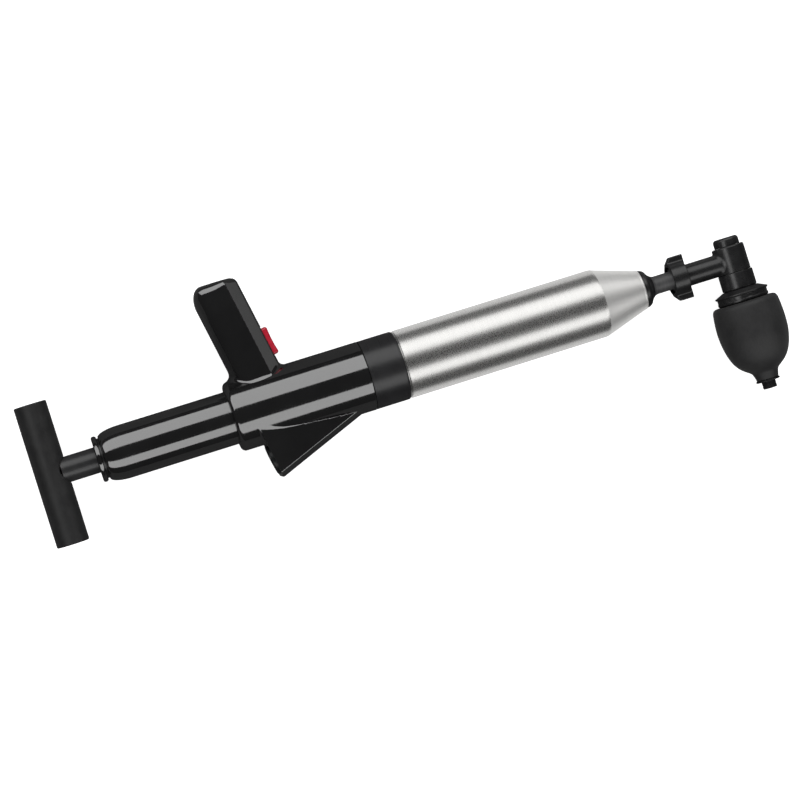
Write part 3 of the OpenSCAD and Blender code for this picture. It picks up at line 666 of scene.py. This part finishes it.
def steps(*stops):
    """A growing list of grid lines from (end, spacing) pairs, starting at the first value."""
    lines = [stops[0]]
    for end, gap in stops[1:]:
        count = max(1, round((end - lines[-1]) / gap))
        lines += [lines[-1] + (end - lines[-1]) * (k + 1) / count for k in range(count - 1)] + [end]
    return np.array(lines)


def surface_nets(field, xs, ys, zs):
    """Meshes where a field is zero: one point in each crossed cell, one quad across each crossed line."""
    grid = np.meshgrid(xs, ys, zs, indexing="ij")
    value = field(*grid)
    inside = value < 0
    corners = [(i, j, k) for i in (0, 1) for j in (0, 1) for k in (0, 1)]
    shape = [n - 1 for n in value.shape]
    filled = sum(inside[i:i + shape[0], j:j + shape[1], k:k + shape[2]].astype(np.int8)
                 for i, j, k in corners)
    cells = np.argwhere((filled > 0) & (filled < 8))
    lines = (xs, ys, zs)
    spot = {c: np.stack([lines[a][cells[:, a] + c[a]] for a in range(3)], 1) for c in corners}
    level = {c: value[cells[:, 0] + c[0], cells[:, 1] + c[1], cells[:, 2] + c[2]] for c in corners}
    total, count = np.zeros((len(cells), 3)), np.zeros(len(cells))
    for a in corners:
        for axis in range(3):
            if a[axis]:
                continue
            b = tuple(1 if k == axis else a[k] for k in range(3))
            crossed = (level[a] < 0) != (level[b] < 0)
            share = np.where(crossed, level[a] / np.where(crossed, level[a] - level[b], 1), 0)
            total += np.where(crossed[:, None], spot[a] + share[:, None] * (spot[b] - spot[a]), 0)
            count += crossed
    points = total / count[:, None]
    number = np.full(shape, -1, np.int64)
    number[tuple(cells.T)] = np.arange(len(cells))
    faces = []
    for axis in range(3):
        one, two = [k for k in range(3) if k != axis]
        near = [slice(1, n - 1) for n in value.shape]
        near[axis] = slice(0, value.shape[axis] - 1)
        far = list(near)
        far[axis] = slice(1, value.shape[axis])
        start, end = inside[tuple(near)], inside[tuple(far)]
        at = np.argwhere(start != end)
        at[:, one] += 1
        at[:, two] += 1
        flip = start[start != end] == (axis == 1)
        ring = []
        for da, db in ((-1, -1), (0, -1), (0, 0), (-1, 0)):
            cell = at.copy()
            cell[:, one] += da
            cell[:, two] += db
            ring.append(number[tuple(cell.T)])
        quad = np.stack(ring, 1)
        quad[flip] = quad[flip][:, ::-1]
        faces.append(quad)
    return points, np.concatenate(faces)


SLOPE_REACH = 0.03
PULL_ROUNDS, PULL_LIMIT = 4, 0.5
TINY = 1e-9


def slope(field, points):
    """The field's gradient at each point."""
    made = []
    for axis in range(3):
        shift = np.zeros(3)
        shift[axis] = SLOPE_REACH
        made.append((field(*(points + shift).T) - field(*(points - shift).T)) / (2 * SLOPE_REACH))
    return np.stack(made, 1)


def pull_to_surface(field, points):
    """Moves each point along the slope to where the field is zero, a little at a time."""
    for _ in range(PULL_ROUNDS):
        away = slope(field, points)
        size = np.maximum((away ** 2).sum(1), 0.2)
        move = -(field(*points.T) / size)[:, None] * away
        length = np.linalg.norm(move, axis=1)
        points = points + move * np.minimum(1, PULL_LIMIT / np.maximum(length, TINY))[:, None]
    return points


def field_mesh(name, field, xs, ys, zs, start):
    """Makes a piece from a field, with its normals taken from the field itself."""
    points, faces = surface_nets(field, xs, ys, zs)
    points = pull_to_surface(field, points)
    normals = slope(field, points)
    normals /= np.maximum(np.linalg.norm(normals, axis=1), TINY)[:, None]
    mesh = bpy.data.meshes.new(name)
    placed = to_part(points + np.array([start, 0, 0]))
    mesh.vertices.add(len(placed))
    mesh.vertices.foreach_set("co", placed.astype(np.float32).ravel())
    mesh.loops.add(faces.size)
    mesh.loops.foreach_set("vertex_index", faces.astype(np.int32).ravel())
    mesh.polygons.add(len(faces))
    mesh.polygons.foreach_set("loop_start", np.arange(0, faces.size, 4, dtype=np.int32))
    mesh.update(calc_edges=True)
    mesh.polygons.foreach_set("use_smooth", [True] * len(faces))
    mesh.normals_split_custom_set_from_vertices([tuple(n) for n in normals])
    return place(name, mesh)


def make_housing():
    """Both halves, on a grid that is finer at the rear edge, the seam and the ends."""
    xs = steps(-5.2, (5.2, 0.65), (112, 1.0), (119.2, 0.5))
    ys = steps(-62, (-30, 0.9), (30, 0.9), (104, 1.0), (114.6, 0.7))
    zs = steps(-0.6, (1.2, 0.3), (3, 0.6), (HOUSING_R + 1.6, 0.9))
    for side, name in ((1, "housing_shell_upper"), (-1, "housing_shell_lower")):
        levels = zs if side > 0 else -zs[::-1]
        piece = field_mesh(name, half_field(side), xs, ys, levels, X_HOUSING)
        node = "housing_upper" if side > 0 else "housing_lower"
        finish_piece(piece, "gun", "gloss_black", node)


# --- Turned and moulded pieces ---


def arc(centre, radii, start, end, count=10):
    """Points (length, radius) on an ellipse quarter, with angles from the length axis in degrees."""
    angles = [math.radians(start + (end - start) * k / count) for k in range(count + 1)]
    return [(centre[0] + radii[0] * math.cos(a), centre[1] + radii[1] * math.sin(a)) for a in angles]


def flowing(points, each=4):
    """A smooth line through points, for outlines with no corners."""
    made = []
    for i in range(len(points) - 1):
        a, b, c, d = (np.array(points[max(0, min(len(points) - 1, i + k))][:2], float)
                      for k in (-1, 0, 1, 2))
        for s in range(each):
            t = s / each
            made.append(tuple(0.5 * (2 * b + (c - a) * t + (2 * a - 5 * b + 4 * c - d) * t * t
                                     + (3 * b - a - 3 * c + d) * t ** 3)))
    return [*made, tuple(points[-1][:2])]


def flats(count, reach, start, end):
    """Cuts a turned piece into flats between two stations, as a change of radius."""
    step = 2 * math.pi / count

    def change(length, angle, radius):
        if not start <= length <= end:
            return 0.0
        limit = reach * math.cos(step / 2) / math.cos((angle % step) - step / 2)
        return min(0.0, limit - radius)
    return change


def second_finish(piece, finish, start):
    """Gives the faces in front of a station a finish of their own."""
    piece.data.materials.append(finish)
    places = piece.data.vertices
    for face in piece.data.polygons:
        along = sum(places[i].co.x for i in face.vertices) / len(face.vertices)
        face.material_index = int(station(along) > start)


def make_barrel():
    nose = arc((X_BARREL + 18, BARREL_R - 4.9), (18, 4.9), 180, 90, 24)
    inner = BARREL_R - 2.5
    outline = [(X_BARREL + 0.2, 17.1), (X_BARREL, 17.2), *nose, (X_COLLAR + 1, BARREL_R),
               (X_COLLAR + 1.1, inner), (X_BARREL + 3.7, inner), (X_BARREL + 3.7, 17.1)]
    piece = lathe("barrel_tube", outline, sides=160)
    finish_piece(piece, "gun", "gloss_black", "pump_barrel")


def make_guide_ring():
    outline = [*arc((X_RING + 2.15, 18.0), (2.15, 1.5), 180, 0, 16), (X_RING + 4.3, 17.06),
               (X_RING, 17.06)]
    piece = lathe("guide_ring_turned", outline, sides=128)
    finish_piece(piece, "gun", "gloss_black", "guide_ring")


def make_rod():
    end = station(high("pump_rod").x)
    outline = [(X_HANDLE + 9, ROD_R), (end - 0.4, ROD_R, 0.4), (end, ROD_R - 0.4, 0.2),
               (end, ROD_R - 1.5), (X_HANDLE + 9, ROD_R - 1.5)]
    piece = lathe("rod_tube", outline, sides=112)
    finish_piece(piece, "pump_handle", "rod_black", "pump_rod")


def make_handle_sleeve():
    """Moulded sleeve with rounded ends and a hole with a rounded edge where the rod enters."""
    half = HANDLE_LEN / 2

    def field(x, y, z):
        bar = round_cut(np.hypot(x, z) - HANDLE_R, np.abs(y) - half, 1.1)
        bore = 10.05 - np.hypot(x, z)
        rod = np.minimum(ROD_R + 0.06 - np.hypot(y, z), x)
        return round_cut(round_cut(bar, bore, 0.5), rod, 0.9)
    lines = steps(-HANDLE_R - 0.8, (HANDLE_R + 0.8, 0.75))
    ys = steps(-half - 0.7, (-half + 3, 0.4), (-16, 1.6), (16, 0.75), (half - 3, 1.6), (half + 0.7, 0.4))
    piece = field_mesh("cross_bar_sleeve", field, lines, ys, lines, X_HANDLE)
    finish_piece(piece, "pump_handle", "grip_black", "handle_sleeve")


def make_handle_plugs():
    """A capped plug in each end of the cross bar, closed on its axis."""
    half = HANDLE_LEN / 2
    points, faces = [], []
    for side in (-1, 1):
        outline = [(side * (half - 10), 0), (side * (half - 10), 8.2, 0.5), (side * (half - 2.1), 8.35),
                   (side * (half - 1.95), 9.95), (side * (half - 0.5), 9.95, 0.5),
                   (side * (half - 0.15), 9.0, 0.5), (side * (half - 0.15), 7.4, 0.3),
                   (side * (half - 0.9), 6.8, 0.4), (side * (half - 0.7), 0)]
        made, quads = lathe_points(fillet(outline), AXIS_Y, Vector((X_HANDLE, 0, 0)), 72)
        faces += [tuple(i + len(points) for i in quad) for quad in quads]
        points += made
    piece = add_mesh("cross_bar_end_plugs", points, faces)
    weld(piece)
    finish_piece(piece, "pump_handle", "grip_black", "handle_end_plugs")


def make_collar():
    """Satin ring between housing and tank, with fine turned grooves near both ends."""
    start, end = X_COLLAR + 0.05, X_TANK - 0.3
    outline = [(start, COLLAR_R - 1.5), (start, COLLAR_R, 0.5)]
    for groove in (start + 2.6, end - 3.2):
        outline += [(groove - 0.35, COLLAR_R), (groove, COLLAR_R - 0.22), (groove + 0.35, COLLAR_R)]
    outline += [(end - 1.6, COLLAR_R, 0.8), (end, COLLAR_R - 1.1, 0.6), (end, COLLAR_R - 1.5)]
    piece = lathe("collar_ring", outline, sides=160)
    finish_piece(piece, "gun", "satin_black", "collar")


def make_tank():
    """Spun steel tank: stepped neck, long body, eased shoulder, cone and rolled lip."""
    inner = TANK_R - 1.2
    neck = station(low("tank_shell").x)
    lip = X_DOME - 1.35
    outline = [(neck, 26.7), (neck, 28.0, 0.3), (X_TANK + 0.1, 28.0), (X_TANK + 0.15, TANK_R - 1.0),
               (X_TANK + 0.5, TANK_R - 0.25), (X_TANK + 1.6, TANK_R, 0.8),
               *[(X_TANK + 4 + (X_CONE - X_TANK - 8) * k / 12, TANK_R) for k in range(13)],
               (X_CONE - 0.4, TANK_R, 3.2),
               *[(X_CONE + 3 + (lip - X_CONE - 4) * k / 6,
                  TANK_R - 0.3 - (TANK_R - 17.5) * (3 + (lip - X_CONE - 4) * k / 6) / (lip - X_CONE))
                 for k in range(7)],
               (lip - 0.5, 17.25, 0.3), (lip, 17.5, 0.4), (X_DOME - 0.25, 17.1, 0.6),
               (X_DOME, 16.4, 0.3), (X_DOME - 0.05, 15.8), (X_DOME - 2, 15.8),
               (X_CONE - 1, inner), (X_TANK + 3, inner), (X_TANK + 1.2, 26.7)]
    piece = lathe("tank_spun", outline, sides=192)
    finish_piece(piece, "gun", "brushed_tank", "tank_shell")
    second_finish(piece, CONE_STEEL, X_CONE)


def make_nozzle():
    """Dome that flares down to the shaft, with its threaded end inside the nut."""
    crown = arc((X_DOME + 0.3, 12.2), (5.6, 4.1), 90, 30, 8)
    foot = crown[-1]
    flare = [(foot[0] + (X_SHAFT + 0.6 - foot[0]) * t, SHAFT_R + (foot[1] - SHAFT_R) * (1 - t) ** 2.3)
             for t in [k / 14 for k in range(1, 15)]]
    seat = station(low("nozzle_body").x)
    outline = [(seat, 4.0), (seat, 11, 0.4), (X_DOME - 18, 11), (X_DOME - 18, 15.5), (X_DOME + 0.05, 15.5),
               (X_DOME + 0.05, 16.3, 0.2), *crown, *flare, (X_NUT + 1.2, SHAFT_R), (X_NUT + 2.4, 11.8),
               (X_NUT + 9, 11.8), (X_NUT + 9, 4.0)]
    piece = lathe("nozzle_turned", outline, sides=128)
    finish_piece(piece, "gun", "fitting_black", "nozzle_body")
    second_finish(piece, SHAFT_GREY, X_SHAFT - 3.5)


def nut_field(x, y, z):
    """Round hub with two moulded wings, chamfered towards the tank."""
    length = X_SPIGOT - X_NUT
    rho = np.hypot(y, z)
    reach = np.abs(y)
    hub = round_cut(round_cut(rho - NUT_HUB_R, -x, 0.7), x - length + 1.2, 1.2)
    wing = round_cut(np.abs(z) - NUT_WING_HALF, reach - NUT_R, 0.9)
    chamfer = (reach - NUT_HUB_R - x * (NUT_R - NUT_HUB_R) / 4) * 0.62
    wing = round_cut(round_cut(round_cut(wing, chamfer, 0.8), -x, 0.5), x - length, 0.5)
    body = round_join(hub, wing, 1.4)
    cavity = np.maximum(rho - 12.0, x - 11.8)
    return round_cut(round_cut(body, -cavity, 0.4), SPIGOT_R + 0.1 - rho, 0.4)


def make_nut():
    xs = steps(-0.5, (X_SPIGOT - X_NUT + 0.6, 0.4))
    ys = steps(-NUT_R - 0.6, (NUT_R + 0.6, 0.5))
    zs = steps(-14.8, (14.8, 0.5))
    piece = field_mesh("wing_nut", nut_field, xs, ys, zs, X_NUT)
    finish_piece(piece, "nut", "fitting_black", "coupling_nut")


def elbow_field(x, y, z):
    """Upright body with a filleted spigot; local x from the nut's rear face."""
    across = x - (X_ELBOW - X_NUT)
    upright = np.hypot(across, z)
    spigot = np.hypot(y, z)
    body = round_cut(upright - ELBOW_R, y - ELBOW_TOP, 1.6)
    body = round_cut(body, -9.55 - y, 0.4)
    stem = np.maximum(np.maximum(spigot - SPIGOT_R, 11 - x), across)
    flange = np.maximum(np.maximum(spigot - 11.7, 10 - x), x - 11.7)
    joined = round_join(body, stem, 1.8)
    joined = np.minimum(joined, flange)
    cross = np.maximum(spigot - 4.5, across + 7)
    return np.maximum(round_cut(joined, 6.6 - upright, 0.4), -cross)


def make_elbow():
    xs = steps(9.3, (X_ELBOW - X_NUT + ELBOW_R + 0.8, 0.65))
    ys = steps(-12.4, (-8, 0.5), (11, 0.8), (ELBOW_TOP + 0.9, 0.45))
    zs = steps(-ELBOW_R - 0.8, (ELBOW_R + 0.8, 0.65))
    piece = field_mesh("elbow_moulded", elbow_field, xs, ys, zs, X_NUT)
    finish_piece(piece, "elbow", "fitting_black", "elbow_body")


def head_piece(name, node, outline, sides, wobble=None, slot="fitting_black"):
    """A piece turned about the plunger head's axis, with lengths along y."""
    piece = lathe(name, outline, AXIS_Y, (X_ELBOW, 0, 0), sides, wobble)
    finish_piece(piece, "plunger_head", slot, node)


def make_cap():
    """Banjo bolt: domed head with a hexagon socket, and its shank."""
    base = ELBOW_TOP + 0.04
    outline = [(-27, 3.2), (-27, 6.4, 0.3), (base, 6.5), (base, 11.0, 0.25),
               (CAP_TOP - 3.2, 11.0), *arc((CAP_TOP - 2.9, 8.2), (2.9, 2.8), 90, 12, 10)[1:],
               (CAP_TOP, 7.4, 0.6), (CAP_TOP, 4.6, 0.3), (CAP_TOP - 0.4, 4.25), (CAP_TOP - 4.6, 4.25),
               (CAP_TOP - 5.2, 3.2)]
    socket = flats(6, 4.9, CAP_TOP - 5.3, CAP_TOP - 0.35)

    def only_socket(length, angle, radius):
        return socket(length, angle, radius + 0.65) if 4.2 < radius < 4.3 else 0.0
    head_piece("banjo_bolt_turned", "banjo_bolt", outline, 120, only_socket)


def make_swivel_sleeve():
    outline = [(SLEEVE_TOP, 6.65), (SLEEVE_TOP, SLEEVE_R, 0.45), (SLEEVE_BOTTOM, SLEEVE_R, 1.4),
               (SLEEVE_BOTTOM, 6.65)]
    head_piece("swivel_sleeve_turned", "swivel_sleeve", outline, 128)


def make_clamp_ring():
    """Ring that clamps the bulb: coned top, thin rim, and a grip band with flats."""
    top = SLEEVE_BOTTOM - 0.06
    outline = [(top, 6.7), (top, 15.4, 0.4), (-26.7, 20.9, 0.5), (-27.7, 23.2, 0.35), (-28.6, 23.2, 0.35),
               (-29.5, 21.7, 0.4), (-32.2, 21.7, 0.3), (-33.0, 22.1, 0.3), (-34.5, 22.1, 0.4),
               (BULB_TOP + 0.06, 21.0, 0.3), (BULB_TOP + 0.06, 6.0), (-27.1, 6.0), (-27.1, 6.7)]
    grip_band = flats(14, 22.15, -32.9, -29.4)
    head_piece("clamp_ring_moulded", "clamp_ring", outline, 224, grip_band)


BULB_PROFILE = ((-35.75, 23.0), (-35.72, 25.2), (-36.5, 27.1), (-38.2, 28.35), (-41, 29.1), (-46, 29.7),
                (-52, 30.1), (-57, 30.2), (-62, 30.0), (-68, 29.4), (-74.5, 28.1), (-80.5, 26.3),
                (-85.5, 24.1), (-89.6, 21.4), (-92.8, 18.3), (-95.2, 15.2), (-97.0, 12.8),
                (-98.7, 11.4), (-101.5, 10.5), (-104.6, 9.8))


def make_bulb():
    """Hollow rubber bulb with a mould line, slight unevenness and a rolled tip."""
    outer = flowing(BULB_PROFILE, 4)
    outline = [(BULB_TOP - 0.06, 5.8), (BULB_TOP - 0.06, 22.6), *outer, (BULB_BOTTOM + 0.1, 9.4),
               (BULB_BOTTOM + 0.06, 8.8), (BULB_BOTTOM + 0.06, 5.8), (-92, 5.8), (-88, 14), (-80, 20),
               (-68, 23.4), (-56, 24), (-46, 23.4), (-41, 19), (-41, 5.8)]

    def uneven(length, angle, radius):
        if radius < 9.5 or length > BULB_TOP - 0.3:
            return 0.0
        share = min(1.0, (BULB_TOP - length) / 6)
        wave = 0.10 * math.sin(2 * angle + 0.09 * length) + 0.06 * math.sin(5 * angle - 0.2 * length)
        line = abs(((angle - 1.1) / math.pi) % 1.0 - 0.5)
        ridge = 0.16 * math.exp(-((0.5 - line) * math.pi * radius / 0.55) ** 2)
        return share * (wave - 0.12 + (ridge if radius > 24.1 or length < -90 else 0))
    head_piece("plunger_bulb_moulded", "plunger_bulb", outline, 288, uneven, "bulb_rubber")


def make_tip():
    outline = [(BULB_BOTTOM - 0.06, 5.7), (BULB_BOTTOM - 0.06, 10.35, 0.3), (WASHER_BOTTOM, 10.35, 0.45),
               (WASHER_BOTTOM, 5.7)]
    head_piece("tip_washer_turned", "tip_washer", outline, 96)
    outline = [(HEAD_BOTTOM, 3.0), (HEAD_BOTTOM, NIPPLE_R, 0.5), (HEAD_BOTTOM + 6.2, NIPPLE_R, 0.2),
               (HEAD_BOTTOM + 6.25, 5.6), (TUBE_TOP, 5.6, 0.2), (TUBE_TOP, 3.0),
               (HEAD_BOTTOM + 1, 3.0, 0.2)]
    head_piece("outlet_tube", "feed_tube", outline, 96)


def trigger_field(x, y, z):
    """Finger bar in the grip's axes, slightly dished along its length."""
    u, v = grip_axes(x, y)
    along = v - TRIGGER_START - TRIGGER_LEN / 2
    dish = 0.5 * np.clip(1 - (along / (TRIGGER_LEN / 2 - 2)) ** 2, 0, 1)
    front = u - (GRIP_FRONT + 4.35 - dish)
    bar = round_cut(np.abs(z) - TRIGGER_HALF, front, 2.6)
    bar = round_cut(bar, np.abs(along) - TRIGGER_LEN / 2, 2.2)
    return round_cut(bar, 11.1 - u, 0.3)


def make_trigger():
    box = [np.array(c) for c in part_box("trigger_button")]
    start, end = ((c - np.array(ORIGIN)) / MM - np.array([X_HOUSING, 0, 0]) for c in box)
    grid = [steps(a - 0.8, (b + 0.8, 0.45)) for a, b in zip(start, end)]
    piece = field_mesh("trigger_bar", trigger_field, *grid, X_HOUSING)
    finish_piece(piece, "trigger", "trigger_red", "trigger_button")


# --- Gauge face ---

DIAL_DEPTH, DIAL_LIFT = -2.98, 0.06
DIAL_START, DIAL_SWEEP = math.radians(225), math.radians(270)
DIAL_MARKS, RIM_STROKES, ZONE_STROKES = 40, 120, 24


def on_gauge(right, up, out):
    """A point in the gauge's own frame: right, up on the dial and out of it."""
    c, s = math.cos(POD_LEAN), math.sin(POD_LEAN)
    x = X_HOUSING + POD_X - GAUGE_Y * math.tan(POD_LEAN)
    return (x - out * c - up * s, GAUGE_Y - out * s + up * c, right)


def dial_bar(points, faces, angle, inner, outer, width):
    """One raised stroke between two radii at an angle from the dial's right."""
    c, s = math.cos(angle), math.sin(angle)
    base = len(points)
    for out in (DIAL_DEPTH, DIAL_DEPTH + DIAL_LIFT):
        for radius, side in ((inner, -1), (outer, -1), (outer, 1), (inner, 1)):
            edge = side * width / 2
            points.append(on_gauge(radius * c - edge * s, radius * s + edge * c, out))
    quads = ((0, 1, 2, 3), (4, 7, 6, 5), (0, 4, 5, 1), (1, 5, 6, 2), (2, 6, 7, 3), (3, 7, 4, 0))
    faces += [tuple(base + i for i in quad) for quad in quads]


def dial_piece(name, bars, slot, finish=None):
    """Strokes of (angle, inner radius, outer radius, width) as one printed piece."""
    points, faces = [], []
    for bar in bars:
        dial_bar(points, faces, *bar)
    piece = add_mesh(name, points, faces, smooth=False)
    weld(piece, smooth=False)
    finish_piece(piece, "gun", slot, finish=finish)


def on_dial(share):
    """The angle of a share of the dial's range."""
    return DIAL_START - DIAL_SWEEP * share


def make_dial_marks():
    """Long, middle and short marks inside a rim line, and a zone at the top of the range."""
    bars = []
    for k in range(DIAL_MARKS + 1):
        long = k % 10 == 0
        inner = 6.6 if long else 7.3 if k % 5 == 0 else 7.9
        bars.append((on_dial(k / DIAL_MARKS), inner, 8.9, 0.36 if long else 0.2))
    bars += [(on_dial((k + 0.5) / RIM_STROKES), 8.95, 9.15, 0.38) for k in range(RIM_STROKES)]
    dial_piece("dial_marks", bars, "dial_white", PRINT)
    zone = [(on_dial(0.8 + 0.2 * (k + 0.5) / ZONE_STROKES), 9.3, 10.1, 0.44) for k in range(ZONE_STROKES)]
    dial_piece("dial_limit_zone", zone, "needle_red")


def make_bezel():
    """Snap-on bezel with a rolled edge, turned in the gauge's frame."""
    outline = [(0.06, GAUGE_R - 1.2), (0.06, GAUGE_R + 1.3, 0.1), (1.0, GAUGE_R + 1.3, 0.4),
               (1.65, GAUGE_R + 0.7, 0.4), (1.65, GAUGE_R - 0.4, 0.4), (0.8, GAUGE_R - 1.2, 0.3)]
    ring = fillet(outline)
    flat, faces = lathe_points([*ring, ring[0]], Matrix.Identity(3), Vector(), 120)
    points = [on_gauge(p.x, p.y, p.z) for p in flat]
    piece = add_mesh("gauge_bezel_turned", points, faces)
    weld(piece)
    finish_piece(piece, "gun", "fitting_black", "gauge_bezel")


def make_shapes():
    for make in (make_housing, make_barrel, make_guide_ring, make_rod, make_handle_sleeve,
                 make_handle_plugs, make_collar, make_tank, make_nozzle, make_nut, make_elbow,
                 make_cap, make_swivel_sleeve, make_clamp_ring, make_bulb, make_tip, make_trigger,
                 make_dial_marks, make_bezel):
        make()


# --- Studio ---

VIEW_TARGET = Vector((-0.01587, -0.02709, 0.0302))
VIEW_TILT_X = math.radians(7.442)
VIEW_TILT_Y = math.radians(1.376)
VIEW_DISTANCE = 1.8528
VIEW_ROLL = math.radians(17.482)
VIEW_LENS = 99.4
FLOOR_GAP = 0.0005
FLOOR_BOUNCE = 0.12
FLOOR_GLOW = 0.85
ROOM_GLOW = 0.035
STRIP_DISTANCE, STRIP_LENGTH, STRIP_RADIANCE = 1.3, 3.4, 1.9
STRAIGHT_UP = Vector((0, 0, 9))


def make_camera():
    """Looks down on the target, tilted towards the handle and rolled about its own axis."""
    back = Vector((-math.tan(VIEW_TILT_X), math.tan(VIEW_TILT_Y), 1)).normalized()
    right = (Vector((1, 0, 0)) - back * back.x).normalized()
    up = back.cross(right)
    turned_right = right * math.cos(VIEW_ROLL) - up * math.sin(VIEW_ROLL)
    turned_up = right * math.sin(VIEW_ROLL) + up * math.cos(VIEW_ROLL)
    data = bpy.data.cameras.new("camera")
    data.lens = VIEW_LENS
    data.sensor_width = 36
    data.clip_start = 0.05
    data.clip_end = 30
    camera = place("camera", data)
    pose = Matrix((turned_right, turned_up, back)).transposed().to_4x4()
    pose.translation = VIEW_TARGET + back * VIEW_DISTANCE
    camera.matrix_world = pose
    bpy.context.scene.camera = camera


def softbox(name, side, start, end):
    """A long strip light parallel to x, seen from the barrel between two angles off the vertical."""
    a, b = math.radians(start), math.radians(end)
    first = Vector((0, side * STRIP_DISTANCE * math.sin(a), STRIP_DISTANCE * math.cos(a)))
    last = Vector((0, side * STRIP_DISTANCE * math.sin(b), STRIP_DISTANCE * math.cos(b)))
    area_light(name, (first + last) / 2, Vector(), (STRIP_LENGTH, (last - first).length), STRIP_RADIANCE)


def area_light(name, spot, aim, size, radiance):
    """A rectangular light at a spot measured from the barrel axis, facing its aim."""
    data = bpy.data.lights.new(name, "AREA")
    data.shape = "RECTANGLE"
    data.size, data.size_y = size
    data.energy = radiance * math.pi * size[0] * size[1]
    light = place(name, data)
    back = (spot - aim).normalized()
    right = Vector((1, 0, 0)) - back * back.x
    right = right.normalized() if right.length > 0.1 else Vector((0, 1, 0))
    pose = Matrix((right, back.cross(right), back)).transposed().to_4x4()
    pose.translation = spot + Vector((0, ORIGIN.y, ORIGIN.z))
    light.matrix_world = pose
    light.visible_camera = False
    return light


def shine_only_on(light, *names):
    """A card held close to some pieces, which the others don't see."""
    near = bpy.data.collections.new(light.name + "_lights")
    for name in names:
        near.objects.link(bpy.data.objects[name])
    light.light_linking.receiver_collection = near


def show_camera(tree, output, seen, lit):
    """One shader for the camera's own rays, and another for light that bounces."""
    path = tree.nodes.new("ShaderNodeLightPath")
    mix = tree.nodes.new("ShaderNodeMixShader")
    tree.links.new(path.outputs["Is Camera Ray"], mix.inputs["Fac"])
    tree.links.new(lit.outputs[0], mix.inputs[1])
    tree.links.new(seen.outputs[0], mix.inputs[2])
    tree.links.new(mix.outputs[0], tree.nodes[output].inputs["Surface"])


def make_world():
    """White to the camera, and a faint even light in the room."""
    world = bpy.data.worlds.new("studio")
    world.use_nodes = True
    tree = world.node_tree
    seen = tree.nodes.new("ShaderNodeBackground")
    seen.inputs["Color"].default_value = (1, 1, 1, 1)
    lit = tree.nodes["Background"]
    lit.inputs["Color"].default_value = (*[ROOM_GLOW] * 3, 1)
    show_camera(tree, "World Output", seen, lit)
    bpy.context.scene.world = world


def make_floor():
    """Pale floor: shadows fall on it softly, and it glows a little to the camera."""
    mesh = bpy.data.meshes.new("floor")
    reach = 4.0
    mesh.from_pydata([(-reach, -reach, 0), (reach, -reach, 0), (reach, reach, 0),
                      (-reach, reach, 0)], [], [(0, 1, 2, 3)])
    floor = place("floor", mesh)
    floor.location.z = CAD_BOX[0].z - FLOOR_GAP
    finish = bpy.data.materials.new("pale_floor")
    finish.use_nodes = True
    tree = finish.node_tree
    shader = tree.nodes["Principled BSDF"]
    shader.inputs["Base Color"].default_value = (0.8, 0.8, 0.8, 1)
    shader.inputs["Roughness"].default_value = 0.9
    shader.inputs["Specular IOR Level"].default_value = 0.0
    dim = tree.nodes.new("ShaderNodeBsdfDiffuse")
    dim.inputs["Color"].default_value = (*[FLOOR_BOUNCE] * 3, 1)
    glow = tree.nodes.new("ShaderNodeEmission")
    glow.inputs["Strength"].default_value = FLOOR_GLOW
    both = tree.nodes.new("ShaderNodeAddShader")
    tree.links.new(shader.outputs[0], both.inputs[0])
    tree.links.new(glow.outputs[0], both.inputs[1])
    show_camera(tree, "Material Output", both, dim)
    mesh.materials.append(finish)


def make_studio():
    """Two long strips and a floor card light everything; the other cards only a few pieces each."""
    scene = bpy.context.scene
    scene.view_settings.view_transform = "Standard"
    scene.view_settings.look = "None"
    make_camera()
    make_world()
    make_floor()
    softbox("strip_grip_side", 1, 24.5, 72.5)
    softbox("strip_pod_side", -1, 27.5, 60.5)
    overhead = Vector((-1.35, 0, 2.0))
    for name, radiance, lit in (
            ("handle_card", 1.5, ("cross_bar_sleeve",)),
            ("head_card", 3.2, ("elbow_moulded", "banjo_bolt_turned", "swivel_sleeve_turned",
                                "clamp_ring_moulded"))):
        card = area_light(name, overhead, Vector(), (1.0, 1.0), radiance)
        shine_only_on(card, *lit)
    floor_z = CAD_BOX[0].z - ORIGIN.z + FLOOR_GAP
    spot = Vector((0.8, 0.3, floor_z))
    area_light("floor_card", spot, spot + STRAIGHT_UP, (1.1, 0.5), 0.24)
    for side in (-1, 1):
        spot = Vector((0.12, side * 0.075, floor_z))
        card = area_light("tank_card", spot, spot + STRAIGHT_UP, (0.3, 0.1), 0.9)
        shine_only_on(card, "tank_spun")


dress_cad_nodes()
make_shapes()
make_studio()
